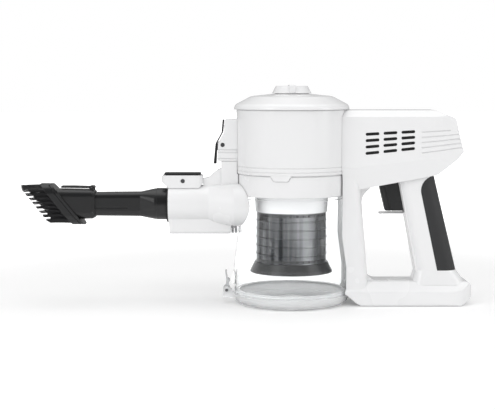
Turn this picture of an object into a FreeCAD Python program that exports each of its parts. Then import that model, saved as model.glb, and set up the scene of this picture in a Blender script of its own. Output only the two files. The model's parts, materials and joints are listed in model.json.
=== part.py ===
"""Cordless handheld vacuum: motor head, D-shaped handle, clear dust cup and two-in-one brush tool.

Millimetres. +Z is up, -X points out of the inlet towards the brush, +X towards the handle. The
origin lies on the axis that the motor and the cyclone share, at the level of the surface the
machine stands on. It stands on the cup's door and on the handle's base.
"""
import FreeCAD, Part

import math
import os

V = FreeCAD.Vector
AXIS_Y = V(0, 1, 0)

# ---- general fits -------------------------------------------------------------------------
WALL = 2.5                 # moulded wall of the white shells
FIT = 0.3                  # gap between pieces that move past each other
SNUG = 0.1                 # gap between pieces that stay together
PIN_PLAY = 0.05            # radial clearance of every hinge pin

# ---- motor head ---------------------------------------------------------------------------
HEAD_R = 57.0              # outside radius of the motor head
HEAD_Z0 = 136.0            # seam between motor head and dust cup
HEAD_Z1 = 202.0            # seam between motor head and exhaust lid
HEAD_FLOOR = 3.0           # thickness of the plate that closes the head's bottom
HEAD_LINES = (139.2, 143.6)  # two fine lines round the drum near its lower edge
INTAKE_R = 20.0            # hole in that plate, in front of the impeller
KEY_W = 22.0               # keying tab on the seam: width at its root
KEY_H = 5.0                # and how far it reaches down into the collar
KEY_X = -12.5              # where along X the tab sits, on the -Y side
KEY_T = 1.6                # its thickness

LID_R = 60.0               # foot of the sloping lid
LID_TOP_R = 39.0           # edge of its top plate
LID_H = 14.2               # height of the slope
LID_RISE = 2.2             # how much the top plate rises from edge to knob
LID_SLOTS = 8              # outlet slots on each side
LID_SLOT_W = 3.4
LID_FAN = 84.0             # angle over which they spread
KNOB_R0 = 20.5             # knob at its foot
KNOB_R1 = 16.5             # knob at its top
KNOB_H = 7.6
KNOB_BAR_W = 7.0           # finger bar across the knob

# ---- motor --------------------------------------------------------------------------------
MOTOR_R = 26.0             # outside of the motor can
MOTOR_Z0 = 154.0
MOTOR_Z1 = 188.0
SHAFT_R = 2.5
ROTOR_R = 14.0             # magnet pack inside the can
IMPELLER_R = 23.0
IMPELLER_Z0 = 141.5
IMPELLER_H = 9.0
IMPELLER_BLADES = 9

# ---- dust cup -----------------------------------------------------------------------------
COLLAR_R = 55.5            # white collar under the seam
COLLAR_Z0 = 114.0          # where the clear cup begins
CUP_TOP_R = 56.0           # clear cup under the collar
CUP_R = 60.0               # clear cup at its fullest
CUP_FLARE_Z1 = 72.0        # the cup widens between these two heights
CUP_FLARE_Z0 = 40.0
CUP_WALL = 2.2
DOOR_H = 11.0              # height of the hinged bottom door
DOOR_FOOT_R = 50.0         # flat ring that the machine stands on
DOOR_FLOOR = 2.4

SHROUD_R = 37.6            # white sleeve that carries the mesh
SHROUD_Z0 = 96.5
MESH_R = 37.2              # steel mesh cylinder
MESH_Z0 = 44.0
MESH_T = 0.8
SKIRT_R = 42.8             # dark ring under the mesh
SKIRT_Z0 = 33.5
SKIRT_T = 2.4

# ---- inlet duct ---------------------------------------------------------------------------
DUCT_Z = 104.0             # height of the inlet's axis
DUCT_R = 19.6              # outside of the straight tube
DUCT_BORE_R = 16.5         # bore that takes the wand or a tool
DUCT_X0 = -128.0           # mouth of the inlet
DUCT_BEND_X = -86.0        # where it starts to swing to the cup's side
DUCT_SWUNG_X = -60.0       # where it has swung
DUCT_SWING = -13.0         # sideways offset of the swung end, for a tangential entry
DUCT_SWUNG_R = 21.8        # outside radius there
KEEL_Z0 = 73.5             # bottom of the contact housing under the tube
KEEL_W = 26.0
KEEL_X1 = -63.0

# ---- handle -------------------------------------------------------------------------------
HANDLE_HALF = 27.0         # half width of the upper housing
BASE_HALF = 28.0           # half width of the base
BASE_X1 = 187.7            # rear end of the base
BASE_TOP = 24.7            # top of the base
BASE_SHOULDER = 15.0       # height where the base's sides start to slope in
STRUT_HALF = 25.0
GRIP_HALF = 18.0
HOUSING_TOP = 201.8
HOUSING_SHOULDER = 195.0
CUP_GAP = 1.2              # air between the cup and the strut's hollow face
PAD_T = 2.0                # soft grip pad
TRIGGER_HALF = 8.0
TRIGGER_TRAVEL = 5.0
SHELF_Z = 95.2             # finger shelf under the trigger
SHELF_T = 1.4

# ---- two-in-one tool ----------------------------------------------------------------------
TOOL_SEAT = 34.0           # length inside the inlet
TOOL_R = 16.15             # spigot in the inlet's bore
NECK_H = 12.6              # half height of the crevice neck
NECK_W = 10.8              # half width
NECK_X1 = -157.0           # where the neck flares to the spigot
FLARE_X = -142.0
TIP_X = -247.0             # tip of the crevice nozzle at its axis
TOOL_WALL = 2.2
BRUSH_X1 = -204          # rear edge of the brush slide
BRUSH_TRAVEL = 25.0
SLANT = math.atan2(27.6, 34.4)   # slant of the brush head, from upright
RIM_X = -244.0             # front plane of the rim at the tool's axis
RIM_T = 12.5               # rim thickness along X
TUFT_R = 1.5
TUFT_LEN = 22.5
TUFT_PITCH = 4.4


# ---- helpers ------------------------------------------------------------------------------
def box(x0, x1, y0, y1, z0, z1):
    return Part.makeBox(x1 - x0, y1 - y0, z1 - z0, V(x0, y0, z0))


def rod_z(r, z0, z1, x=0.0, y=0.0):
    return Part.makeCylinder(r, z1 - z0, V(x, y, z0), V(0, 0, 1))


def rod_x(r, x0, x1, y=0.0, z=0.0):
    return Part.makeCylinder(r, x1 - x0, V(x0, y, z), V(1, 0, 0))


def rod_y(r, x, z, y0, y1):
    return Part.makeCylinder(r, y1 - y0, V(x, y0, z), AXIS_Y)


def tube_z(r_out, r_in, z0, z1):
    return rod_z(r_out, z0, z1).cut(rod_z(r_in, z0 - 1, z1 + 1))


def rounded_wire(corners, place):
    """Closed wire through (u, v, radius) corners; each corner becomes a tangent arc."""
    count = len(corners)
    joints = []
    for i in range(count):
        u, v, radius = corners[i]
        before, after = corners[i - 1], corners[(i + 1) % count]
        a = V(before[0] - u, before[1] - v, 0).normalize()
        b = V(after[0] - u, after[1] - v, 0).normalize()
        half = a.getAngle(b) / 2
        setback = radius / math.tan(half)
        middle = (a + b).normalize() * (radius / math.sin(half) - radius)
        corner = V(u, v, 0)
        joints.append((corner + a * setback, corner + middle, corner + b * setback, radius))
    edges = []
    for i in range(count):
        start, middle, end, radius = joints[i]
        following = joints[(i + 1) % count][0]
        if radius > 0:
            arc = Part.Arc(place(start.x, start.y), place(middle.x, middle.y), place(end.x, end.y))
            edges.append(arc.toShape())
        edges.append(Part.makeLine(place(end.x, end.y), place(following.x, following.y)))
    return Part.Wire(edges)


def inset(corners, d):
    """The same outline, d further in; corners run counter-clockwise."""
    result = []
    count = len(corners)
    for i in range(count):
        u, v, radius = corners[i]
        before, after = corners[i - 1], corners[(i + 1) % count]
        t1 = V(u - before[0], v - before[1], 0).normalize()
        t2 = V(after[0] - u, after[1] - v, 0).normalize()
        n1, n2 = V(-t1.y, t1.x, 0), V(-t2.y, t2.x, 0)
        shift = (n1 + n2) * (d / (1 + n1.dot(n2)))
        convex = t1.x * t2.y - t1.y * t2.x > 0
        result.append((u + shift.x, v + shift.y, max(radius - d if convex else radius + d, 0.4)))
    return result


def side_prism(corners, y0, y1):
    """Solid with a side-view outline in X and Z, from y0 to y1."""
    wire = rounded_wire(corners, lambda u, v: V(u, y0, v))
    return Part.Face(wire).extrude(V(0, y1 - y0, 0))


def plan_prism(corners, z0, z1):
    wire = rounded_wire(corners, lambda u, v: V(u, v, z0))
    return Part.Face(wire).extrude(V(0, 0, z1 - z0))


def loft_up(low, z0, high, z1):
    """Straight-sided solid between two plan outlines."""
    wires = [
        rounded_wire(low, lambda u, v: V(u, v, z0)),
        rounded_wire(high, lambda u, v: V(u, v, z1)),
    ]
    return Part.makeLoft(wires, True, True)


def loft_along(first, x0, second, x1):
    """Straight-sided solid between two end-view outlines in Y and Z."""
    wires = [
        rounded_wire(first, lambda u, v: V(x0, u, v)),
        rounded_wire(second, lambda u, v: V(x1, u, v)),
    ]
    return Part.makeLoft(wires, True, True)


def spin(profile):
    """Solid of revolution about Z from (radius, height) corners."""
    points = [V(r, 0, z) for r, z in profile]
    face = Part.Face(Part.makePolygon(points + points[:1]))
    return face.revolve(V(0, 0, 0), V(0, 0, 1), 360)


def mirrored(shape):
    return shape.mirror(V(0, 0, 0), AXIS_Y)


def both_sides(shape):
    return shape.fuse(mirrored(shape))


def ring_of(shape, count, start=0.0, sweep=360.0):
    """Copies of a shape turned about Z."""
    turned = []
    for i in range(count):
        copy = shape.copy()
        copy.rotate(V(0, 0, 0), V(0, 0, 1), start + sweep * i / count)
        turned.append(copy)
    return turned


# ---- motor head ---------------------------------------------------------------------------
def head_shell():
    """White drum over the motor, open at the top, with the keying tab on its lower edge."""
    inner_r = HEAD_R - WALL
    shell = spin([
        (INTAKE_R, HEAD_Z0), (HEAD_R - 1, HEAD_Z0), (HEAD_R, HEAD_Z0 + 1), (HEAD_R, HEAD_Z1),
        (inner_r, HEAD_Z1), (inner_r, HEAD_Z0 + HEAD_FLOOR), (INTAKE_R, HEAD_Z0 + HEAD_FLOOR),
    ])
    for z in HEAD_LINES:
        shell = shell.cut(tube_z(HEAD_R + 1, HEAD_R - 0.35, z, z + 0.7))
    return shell.fuse(key_tab(0))


def key_tab(gap):
    """Tapered tab on the -Y side; gap grows it to make the collar's notch."""
    root, tip = KEY_W / 2 + gap, KEY_W / 2 - 4 + gap
    top, foot = HEAD_Z0 + 1, HEAD_Z0 - KEY_H - gap
    outline = [
        (KEY_X - root, top, 0), (KEY_X - tip, foot, 0), (KEY_X + tip, foot, 0), (KEY_X + root, top, 0),
    ]
    block = side_prism(outline, -HEAD_R - 2, -HEAD_R / 2)
    outer = HEAD_R + (1 if gap else -0.2)
    return block.common(tube_z(outer, HEAD_R - KEY_T - 0.2 - gap, foot - 1, top + 1))


def exhaust_lid():
    """Round-shouldered lid with outlet slots on both sides of the knob."""
    z0, z1 = HEAD_Z1 + FIT, HEAD_Z1 + LID_H
    hub_r, edge_z = KNOB_R0 - 3, HEAD_Z1 + 4.5
    outline = [
        (hub_r, z1 + LID_RISE - WALL, 0), (LID_TOP_R - 1, z1 - WALL, 4), (LID_R - 5.5, edge_z, 3), (LID_R - 5.5, z0, 0),
        (LID_R - 0.4, z0, 0.3), (LID_R, edge_z, 6), (LID_TOP_R + 4, z1 - 0.8, 7), (LID_TOP_R, z1, 1.5),
        (hub_r, z1 + LID_RISE, 0),
    ]
    section = Part.Face(rounded_wire(outline, lambda u, v: V(u, 0, v)))
    lid = section.revolve(V(0, 0, 0), V(0, 0, 1), 360).Solids[0]
    if lid.Volume < 0:
        lid.reverse()
    lid = lid.fuse(tube_z(HEAD_R - WALL - FIT, HEAD_R - WALL - 2, HEAD_Z1 - 4, z0 + 2.5))
    lid = lid.fuse(tube_z(LID_R - 4.5, HEAD_R - WALL - 2, z0 + 0.3, z0 + 2.5))
    slot = box(KNOB_R0 + 2.0, LID_TOP_R - 1.5, -LID_SLOT_W / 2, LID_SLOT_W / 2, z0, z1 + 5)
    for start in (-LID_FAN / 2, 180 - LID_FAN / 2):
        for cut in ring_of(slot, LID_SLOTS, start, LID_FAN * LID_SLOTS / (LID_SLOTS - 1)):
            lid = lid.cut(cut)
    return lid


def lid_foam():
    """Thin black foam ring right under the outlet slots."""
    z1 = HEAD_Z1 + LID_H - WALL - SNUG
    return tube_z(LID_TOP_R - 2.5, KNOB_R0 - 3 + SNUG, z1 - 3, z1)


def filter_knob():
    """Turn knob: a low cone with two finger scoops beside a straight bar."""
    z0 = HEAD_Z1 + LID_H + LID_RISE + FIT
    cone = Part.makeCone(KNOB_R0, KNOB_R1, KNOB_H, V(0, 0, z0), V(0, 0, 1))
    scoops = tube_z(KNOB_R1 - 2.5, 0.1, z0 + KNOB_H - 3.5, z0 + KNOB_H + 1)
    keep = box(-KNOB_BAR_W / 2, KNOB_BAR_W / 2, -KNOB_R0, KNOB_R0, z0, z0 + KNOB_H + 2)
    bar = box(-KNOB_BAR_W / 2, KNOB_BAR_W / 2, -KNOB_R0 - 0.4, KNOB_R0 + 0.4, z0 + 0.5, z0 + KNOB_H + 1)
    bar = bar.makeFillet(1.2, bar.Edges)
    stem = rod_z(KNOB_R0 - 3 - FIT, z0 - WALL - 1, z0 + 1)
    return cone.cut(scoops.cut(keep)).fuse(bar).fuse(stem)


def exhaust_filter():
    """Pleated ring filter between the motor and the lid."""
    z1 = HEAD_Z1 + 3
    core = tube_z(HEAD_R - WALL - 2.2, 20, MOTOR_Z1 + 5, z1)
    groove = box(22, 50, -0.7, 0.7, z1 - 2, z1 + 1)
    for cut in ring_of(groove, 36):
        core = core.cut(cut)
    return core


def motor_can():
    """Stator can with a bearing seat at each end."""
    can = tube_z(MOTOR_R, MOTOR_R - 6, MOTOR_Z0, MOTOR_Z1)
    for z in (MOTOR_Z0, MOTOR_Z1 - 3):
        can = can.fuse(tube_z(MOTOR_R - 1, 6 + SNUG, z, z + 3))
    return can


def motor_bearings():
    rings = [tube_z(6, SHAFT_R + PIN_PLAY, z, z + 3) for z in (MOTOR_Z0, MOTOR_Z1 - 3)]
    return Part.makeCompound(rings)


def motor_carrier():
    """Spoked ring that hangs the motor in the drum, over a shroud round the impeller."""
    outer = HEAD_R - WALL - SNUG
    inner = MOTOR_R + SNUG
    carrier = tube_z(outer, outer - 2, MOTOR_Z0 - 3, MOTOR_Z0 + 8)
    carrier = carrier.fuse(tube_z(inner + 2.5, inner, MOTOR_Z0 + 1, MOTOR_Z0 + 8))
    spoke = box(inner + 0.8, outer - 1, -2.5, 2.5, MOTOR_Z0 + 1, MOTOR_Z0 + 6)
    for rib in ring_of(spoke, 6, 30):
        carrier = carrier.fuse(rib)
    shroud = tube_z(IMPELLER_R + 4, IMPELLER_R + 1.5, HEAD_Z0 + HEAD_FLOOR, MOTOR_Z0 - 1.5)
    skirt = tube_z(IMPELLER_R + 6, MOTOR_R - 5, MOTOR_Z0 - 2, MOTOR_Z0 - SNUG)
    legs = [box(IMPELLER_R + 5, outer - 1, -1.5, 1.5, MOTOR_Z0 - 2.8, MOTOR_Z0 - 0.6)]
    for leg in ring_of(legs[0], 6, 30):
        carrier = carrier.fuse(leg)
    return carrier.fuse(skirt).fuse(shroud)


def motor_shaft():
    shaft = rod_z(SHAFT_R, IMPELLER_Z0 + 0.5, MOTOR_Z1 + 3)
    return shaft.fuse(tube_z(ROTOR_R, SHAFT_R - 0.5, MOTOR_Z0 + 6, MOTOR_Z1 - 6))


def impeller():
    """Backward-leaning blades on a domed disc."""
    z0, z1 = IMPELLER_Z0, IMPELLER_Z0 + IMPELLER_H
    hub = spin([(SHAFT_R + 0.02, z0), (7, z0), (9, z1 - 3), (IMPELLER_R, z1 - 1.2), (IMPELLER_R, z1),
                (SHAFT_R + 0.02, z1)])
    blade = box(7, IMPELLER_R, -0.6, 0.6, z0 + 1, z1 - 0.5)
    blade.rotate(V(7, 0, 0), V(0, 0, 1), -28)
    limit = tube_z(IMPELLER_R, SHAFT_R + 2, z0, z1)
    for turned in ring_of(blade.common(limit), IMPELLER_BLADES):
        hub = hub.fuse(turned)
    return hub


# ---- cup latch on the motor head ----------------------------------------------------------
LATCH_PIN_X, LATCH_PIN_Z = -71.5, 165.7
LATCH_HALF = 9.0
LATCH_CHEEK = 2.4
LATCH_Z0, LATCH_Z1 = 148.9, 192.4
PIN_R = 2.1

LATCH_SIDE = [
    (-52.0, LATCH_Z0, 0), (-52.0, LATCH_Z1, 0), (-69.6, LATCH_Z1, 2.5), (-70.2, 178.6, 6),
    (-76.2, 167.6, 5), (-77.0, LATCH_Z0, 1),
]


def latch_bracket():
    """Two cheeks and a back that stand on the drum, with three grip lines."""
    side = LATCH_SIDE[::-1]
    body = side_prism(side, -LATCH_HALF, LATCH_HALF)
    room = side_prism(
        [(-90, 140, 0), (-61.5, 140, 0), (-61.5, LATCH_Z1 + 5, 0), (-90, LATCH_Z1 + 5, 0)],
        -LATCH_HALF + LATCH_CHEEK, LATCH_HALF - LATCH_CHEEK,
    )
    body = body.cut(room).cut(rod_z(HEAD_R + SNUG / 2, 100, 220))
    for z in (151.0, 157.4, 160.2):
        line = box(-80, -50, -LATCH_HALF - 1, -LATCH_HALF + 0.6, z, z + 0.9)
        body = body.cut(both_sides(line))
    hole = rod_y(PIN_R + SNUG / 2, LATCH_PIN_X, LATCH_PIN_Z, -LATCH_HALF - 1, LATCH_HALF + 1)
    return body.cut(hole)


def latch_lever():
    """Dark face that follows the bracket's front edge, with a hub on the pin."""
    outer = [
        (-69.9, 191.6, 0.5), (-71.6, 191.6, 0.5), (-72.6, 178.4, 6), (-78.9, 167.2, 5),
        (-80.9, 146.2, 0.8), (-77.9, 146.2, 0.6), (-77.0, 167.8, 5), (-71.0, 178.8, 6),
    ]
    inner_half = LATCH_HALF - LATCH_CHEEK - FIT
    face = side_prism(outer, -inner_half, inner_half)
    web = side_prism(
        [(-77.8, 160, 0), (-70, 161, 1), (-68, 166, 1), (-70, 170, 1), (-76.5, 168.5, 0)],
        -inner_half, inner_half,
    )
    hub = rod_y(4.2, LATCH_PIN_X, LATCH_PIN_Z, -inner_half, inner_half)
    lever = face.fuse(web).fuse(hub)
    return lever.cut(rod_y(PIN_R + PIN_PLAY, LATCH_PIN_X, LATCH_PIN_Z, -20, 20))


def latch_pin():
    return rod_y(PIN_R, LATCH_PIN_X, LATCH_PIN_Z, -LATCH_HALF - 0.3, LATCH_HALF + 0.3)


def latch_spring():
    """Coil behind the lever's upper end, drawn as its outer shape."""
    return rod_x(2.2, -70.2, -61.5, 0, 184.0)


# ---- dust cup -----------------------------------------------------------------------------
def cup_collar():
    """White collar: holds the pre-filter, the mesh sleeve and the seal, and closes the cup."""
    top = HEAD_Z0 - FIT
    collar = spin([
        (COLLAR_R, COLLAR_Z0), (COLLAR_R, top - 1), (COLLAR_R - 1, top), (COLLAR_R - 10, top),
        (COLLAR_R - 10, top - 3), (COLLAR_R - WALL, top - 3), (COLLAR_R - WALL, COLLAR_Z0 + 5),
        (SHROUD_R - 3, COLLAR_Z0 + 5), (SHROUD_R - 3, COLLAR_Z0 + 2), (COLLAR_R - 6, COLLAR_Z0 + 2),
        (COLLAR_R - 6, COLLAR_Z0),
    ])
    collar = collar.cut(tube_z(COLLAR_R - 4, COLLAR_R - 8, top - 1.6, top + 1))
    return collar.cut(key_tab(FIT))


def cup_seal():
    top = HEAD_Z0 - FIT
    return tube_z(COLLAR_R - 4.1, COLLAR_R - 7.9, top - 1.6, top + 0.1)


def pre_filter():
    """Round sponge in the collar, under the motor's intake."""
    return rod_z(COLLAR_R - 10 - SNUG, COLLAR_Z0 + 5 + SNUG, HEAD_Z0 - 1.0)


def duct_path(straight_r, swung_r, x_end):
    """Straight tube, swing to the side and entry into the cup, at the given radii."""
    def ring(x, y, r):
        return Part.Wire(Part.makeCircle(r, V(x, y, DUCT_Z), V(1, 0, 0)))
    straight = rod_x(straight_r, DUCT_X0, DUCT_BEND_X, 0, DUCT_Z)
    swing = Part.makeLoft([
        ring(DUCT_BEND_X, 0, straight_r), ring(DUCT_SWUNG_X, DUCT_SWING, swung_r),
    ], True, True)
    entry = rod_x(swung_r, DUCT_SWUNG_X, x_end, DUCT_SWING, DUCT_Z)
    return straight.fuse(swing).fuse(entry)


def cup_outside(grow, z0=0):
    """Outer shape of the cup and collar, grown by a gap, up to the seam."""
    return spin([
        (0, z0), (CUP_R + grow, z0), (CUP_R + grow, CUP_FLARE_Z0), (CUP_TOP_R + grow, CUP_FLARE_Z1),
        (CUP_TOP_R + grow, HEAD_Z0 - FIT), (0, HEAD_Z0 - FIT),
    ])


def inlet_duct():
    """White inlet: tube, side entry, contact housing, catch post and gusset in one moulding."""
    body = duct_path(DUCT_R, DUCT_SWUNG_R, -35)
    keel = side_prism([
        (DUCT_X0 + 1.6, KEEL_Z0, 1), (KEEL_X1, KEEL_Z0, 2), (KEEL_X1, DUCT_Z - 10, 0),
        (DUCT_X0, DUCT_Z - 10, 0),
    ], -KEEL_W / 2, KEEL_W / 2)
    keel = keel.common(loft_along(
        [(-KEEL_W / 2 + 1, KEEL_Z0, 4), (KEEL_W / 2 - 1, KEEL_Z0, 4), (KEEL_W / 2, DUCT_Z, 0),
         (-KEEL_W / 2, DUCT_Z, 0)], DUCT_X0,
        [(-KEEL_W / 2 + 1, KEEL_Z0, 4), (KEEL_W / 2 - 1, KEEL_Z0, 4), (KEEL_W / 2, DUCT_Z, 0),
         (-KEEL_W / 2, DUCT_Z, 0)], KEEL_X1,
    ))
    post = box(-73.2, -50, -LATCH_HALF, LATCH_HALF, DUCT_Z + 8, LATCH_Z0 - FIT)
    post = post.cut(box(-70.7, -60.5, -LATCH_HALF + 2.5, LATCH_HALF - 2.5, DUCT_Z + 24, 160))
    gusset = side_prism([
        (-92, DUCT_Z + 15, 0), (-72, DUCT_Z + 15, 0), (-72, 141.5, 0), (-76.4, 140, 1), (-86, 132, 2),
        (-92, 130.5, 0),
    ], -5.5, 5.5)
    body = body.fuse(keel).fuse(post).fuse(gusset)
    body = body.cut(cup_outside(SNUG))
    body = body.cut(rod_z(HEAD_R + FIT, HEAD_Z0 - FIT, HEAD_Z1 + 18))
    body = body.cut(duct_path(DUCT_BORE_R, DUCT_SWUNG_R - WALL, -20))
    body = body.cut(box(DUCT_X0 + 4, KEEL_X1 - 3, -KEEL_W / 2 + 2.5, KEEL_W / 2 - 2.5,
                        KEEL_Z0 + 2, DUCT_Z - DUCT_R - 0.5))
    slot = box(-131.5, -118.5, -4.5, 4.5, DUCT_Z, 140)
    return body.cut(slot)


def clear_cup():
    """Clear wall of the bin, with the inlet's window and the catch for the door."""
    inner_top, inner = CUP_TOP_R - CUP_WALL, CUP_R - CUP_WALL
    z1 = COLLAR_Z0 - SNUG
    cup = spin([
        (inner, DOOR_H + FIT), (CUP_R, DOOR_H + FIT), (CUP_R, CUP_FLARE_Z0), (CUP_TOP_R, CUP_FLARE_Z1),
        (CUP_TOP_R, z1 - 3), (CUP_TOP_R + 0.9, z1 - 2), (CUP_TOP_R + 0.9, z1), (inner_top, z1),
        (inner_top, CUP_FLARE_Z1), (inner, CUP_FLARE_Z0),
    ])
    relief = duct_path(DUCT_R + SNUG, DUCT_SWUNG_R + SNUG, -25)
    window = duct_path(DUCT_BORE_R, DUCT_SWUNG_R - WALL, -20)
    ledge = tube_z(CUP_TOP_R + 2, CUP_TOP_R + SNUG / 2, z1 - 4, z1 + 1)
    catch = side_prism([
        (-CUP_R + 1, 20, 0), (-CUP_R + 1, 34, 0), (-CUP_R - 0.6, 34, 0.3), (-CUP_R - 3.2, 24, 0.5),
        (-CUP_R - 0.8, 20, 0.3),
    ][::-1], -7, 7)
    ear = box(CUP_R - 1.5, CUP_R + 0.8, -HINGE_HALF, HINGE_HALF, DOOR_H + 1, 24)
    knuckles = rod_y(HINGE_R, HINGE_X, HINGE_Z, -HINGE_HALF, HINGE_HALF)
    knuckles = knuckles.fuse(box(HINGE_X - 2.2, HINGE_X + 2.2, -HINGE_HALF, HINGE_HALF, HINGE_Z, 24))
    knuckles = knuckles.fuse(box(CUP_R - 1.5, HINGE_X, -HINGE_HALF, HINGE_HALF, 20, 24))
    middle = HINGE_HALF / 3 + FIT
    knuckles = knuckles.cut(box(50, 80, -middle, middle, 0, 19))
    relief = relief.fuse(box(-75, -50, -LATCH_HALF - SNUG, LATCH_HALF + SNUG, DUCT_Z + 8, z1 + 1))
    cup = cup.fuse(ear).fuse(knuckles).cut(ledge.common(relief))
    cup = cup.fuse(catch.cut(rod_z(CUP_R - 1, 0, 60))).cut(window)
    return cup.cut(rod_y(PIN_R - 0.6 + PIN_PLAY, HINGE_X, HINGE_Z, -40, 40))


HINGE_X, HINGE_Z = 63.6, 8.0
HINGE_R = 3.4
HINGE_HALF = 15.0


def door_hinge_pin():
    return rod_y(PIN_R - 0.6, HINGE_X, HINGE_Z, -HINGE_HALF + 0.5, HINGE_HALF - 0.5)


LATCH2_X, LATCH2_Z = -67.6, 14.0


def cup_door():
    """Round bottom door with a seal groove, a raised centre, a hinge knuckle and latch ears."""
    rim = CUP_R - CUP_WALL
    foot = spin([
        (0, 0), (DOOR_FOOT_R, 0), (DOOR_FOOT_R + 5, 1.3),
        (CUP_R - 1.4, 4.4), (CUP_R, 8), (CUP_R, DOOR_H), (rim - 4, DOOR_H), (rim - 4, DOOR_FLOOR + 3),
        (20, DOOR_FLOOR + 1.2), (16, DOOR_FLOOR + 4), (0, DOOR_FLOOR + 5.5),
    ])
    lip = tube_z(rim - FIT, rim - 3.6, DOOR_H - 1, DOOR_H + 4)
    groove = tube_z(rim + 1, rim - 1.4, DOOR_H + 1.2, DOOR_H + 3)
    third = HINGE_HALF / 3
    knuckle = rod_y(HINGE_R, HINGE_X, HINGE_Z, -third, third)
    arm = box(CUP_R - 3, HINGE_X, -third, third, HINGE_Z - 2.4, HINGE_Z + 2.4)
    ears = both_sides(box(-71, -CUP_R + 2.5, 5.5, 8, 6, DOOR_H).fuse(
        rod_y(4.0, LATCH2_X, LATCH2_Z, 5.5, 8)).fuse(box(-71, -LATCH_STOP, 5.5, 8, 6, LATCH2_Z)))
    door = foot.fuse(lip.cut(groove)).fuse(knuckle.fuse(arm)).fuse(ears)
    door = door.cut(rod_y(PIN_R - 0.6 + PIN_PLAY, HINGE_X, HINGE_Z, -40, 40))
    return door.cut(rod_y(1.5 + SNUG / 2, LATCH2_X, LATCH2_Z, -20, 20))


LATCH_STOP = 62.0


def door_seal():
    rim = CUP_R - CUP_WALL
    return tube_z(rim - 0.15, rim - 1.4 + 0.05, DOOR_H + 1.3, DOOR_H + 2.9)


def door_latch():
    """Clear squeeze lever with an outward finger tab and a hook over the cup's catch."""
    lever = side_prism([
        (-69.6, 12, 1), (-65.4, 12, 1), (-64.9, 22.2, 1), (-63.9, 23.4, 0.4), (-64.2, 24.8, 0.4),
        (-66.4, 26, 1), (-67.6, 34.2, 0.6), (-69.2, 34.0, 0.6), (-68.0, 25, 3),
    ], -5.5 + FIT, 5.5 - FIT)
    lever = lever.fuse(rod_y(3.8, LATCH2_X, LATCH2_Z, -5.5 + FIT, 5.5 - FIT))
    return lever.cut(rod_y(1.5 + PIN_PLAY, LATCH2_X, LATCH2_Z, -20, 20))


def door_latch_pin():
    return rod_y(1.5, LATCH2_X, LATCH2_Z, -8.2, 8.2)


# ---- cyclone inside the cup ---------------------------------------------------------------
def mesh_sleeve():
    """White sleeve between the collar and the mesh."""
    z1 = COLLAR_Z0 + 2 - SNUG
    return spin([
        (SHROUD_R - 2.2, SHROUD_Z0), (SHROUD_R, SHROUD_Z0), (SHROUD_R + 0.8, z1 - 3), (COLLAR_R - 7, z1 - 3),
        (COLLAR_R - 7, z1), (SHROUD_R - 2.2, z1),
    ])


def mesh_screen():
    return tube_z(MESH_R, MESH_R - MESH_T, MESH_Z0 + SNUG, SHROUD_Z0 - SNUG)


def mesh_frame():
    """Dark cage inside the mesh: two end rings and eight posts."""
    r1 = MESH_R - MESH_T - SNUG
    cage = tube_z(r1, r1 - 2, MESH_Z0 + SNUG, MESH_Z0 + 4).fuse(
        tube_z(r1, r1 - 2, SHROUD_Z0 - 4, SHROUD_Z0 - SNUG))
    post = box(r1 - 2, r1 - 0.3, -1.5, 1.5, MESH_Z0 + 1, SHROUD_Z0 - 1)
    for bar in ring_of(post, 8):
        cage = cage.fuse(bar)
    return cage


def cyclone_cone():
    """Inner cone that drops the fine dust, open at both ends."""
    z1 = COLLAR_Z0 + 2 - SNUG
    rim, low, wall = SHROUD_R - 2.3, 11, 2
    return spin([
        (rim - wall, z1), (rim, z1), (rim, SHROUD_Z0), (MESH_R - 3.6, SHROUD_Z0), (low + wall, SKIRT_Z0 + 7),
        (low + wall, SKIRT_Z0 + 1), (low, SKIRT_Z0 + 1), (low, SKIRT_Z0 + 7), (MESH_R - 3.6 - wall, SHROUD_Z0),
        (rim - wall, SHROUD_Z0 + 2),
    ])


def mesh_skirt():
    """Dark flared ring that keeps the dust below from rising again."""
    hub = 13 + SNUG
    return spin([
        (hub, SKIRT_Z0 + 4), (MESH_R - 3, SKIRT_Z0 + 6), (SKIRT_R - SKIRT_T, SKIRT_Z0), (SKIRT_R, SKIRT_Z0),
        (SKIRT_R, SKIRT_Z0 + 0.8), (MESH_R + 0.8, MESH_Z0), (MESH_R - 4, MESH_Z0), (MESH_R - 5, SKIRT_Z0 + 8.5),
        (hub, SKIRT_Z0 + 6.5),
    ])


# ---- inlet details ------------------------------------------------------------------------
POD_X0, POD_X1 = -134.7, -92.0
POD_Z1 = 134.2
POD_HALF = 11.5
POD_PIN_X, POD_PIN_Z = -112.8, 128.4


def release_pod():
    """White pod on top of the inlet that holds the tool release rocker."""
    outline = [
        (POD_X0 + 7.3, 121.0, 1), (POD_X1 - 4, 121.0, 2), (POD_X1, 125.5, 2), (POD_X1, POD_Z1, 1.5),
        (POD_X0, POD_Z1, 1.5), (POD_X0, 127.6, 1),
    ]
    pod = side_prism(outline, -POD_HALF, POD_HALF)
    pod = pod.common(plan_prism([
        (POD_X0, -POD_HALF, 5), (POD_X1, -POD_HALF, 5), (POD_X1, POD_HALF, 5), (POD_X0, POD_HALF, 5),
    ], 110, 140))
    room = side_prism([
        (POD_X0 + 8.4, 123.2, 0), (POD_X1 - 4, 123.2, 1), (POD_X1 - 1.6, 126, 1), (POD_X1 - 1.6, 140, 0),
        (POD_X0 + 1.8, 140, 0), (POD_X0 + 1.8, 128.4, 0.5),
    ], -POD_HALF + 1.9, POD_HALF - 1.9)
    pod = pod.cut(room).cut(rod_x(DUCT_R + SNUG, -140, -80, 0, DUCT_Z))
    pod = pod.cut(box(-131.5, -118.5, -4.5, 4.5, 110, 130))
    return pod.cut(rod_y(PIN_R + SNUG / 2, POD_PIN_X, POD_PIN_Z, -20, 20))


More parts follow.
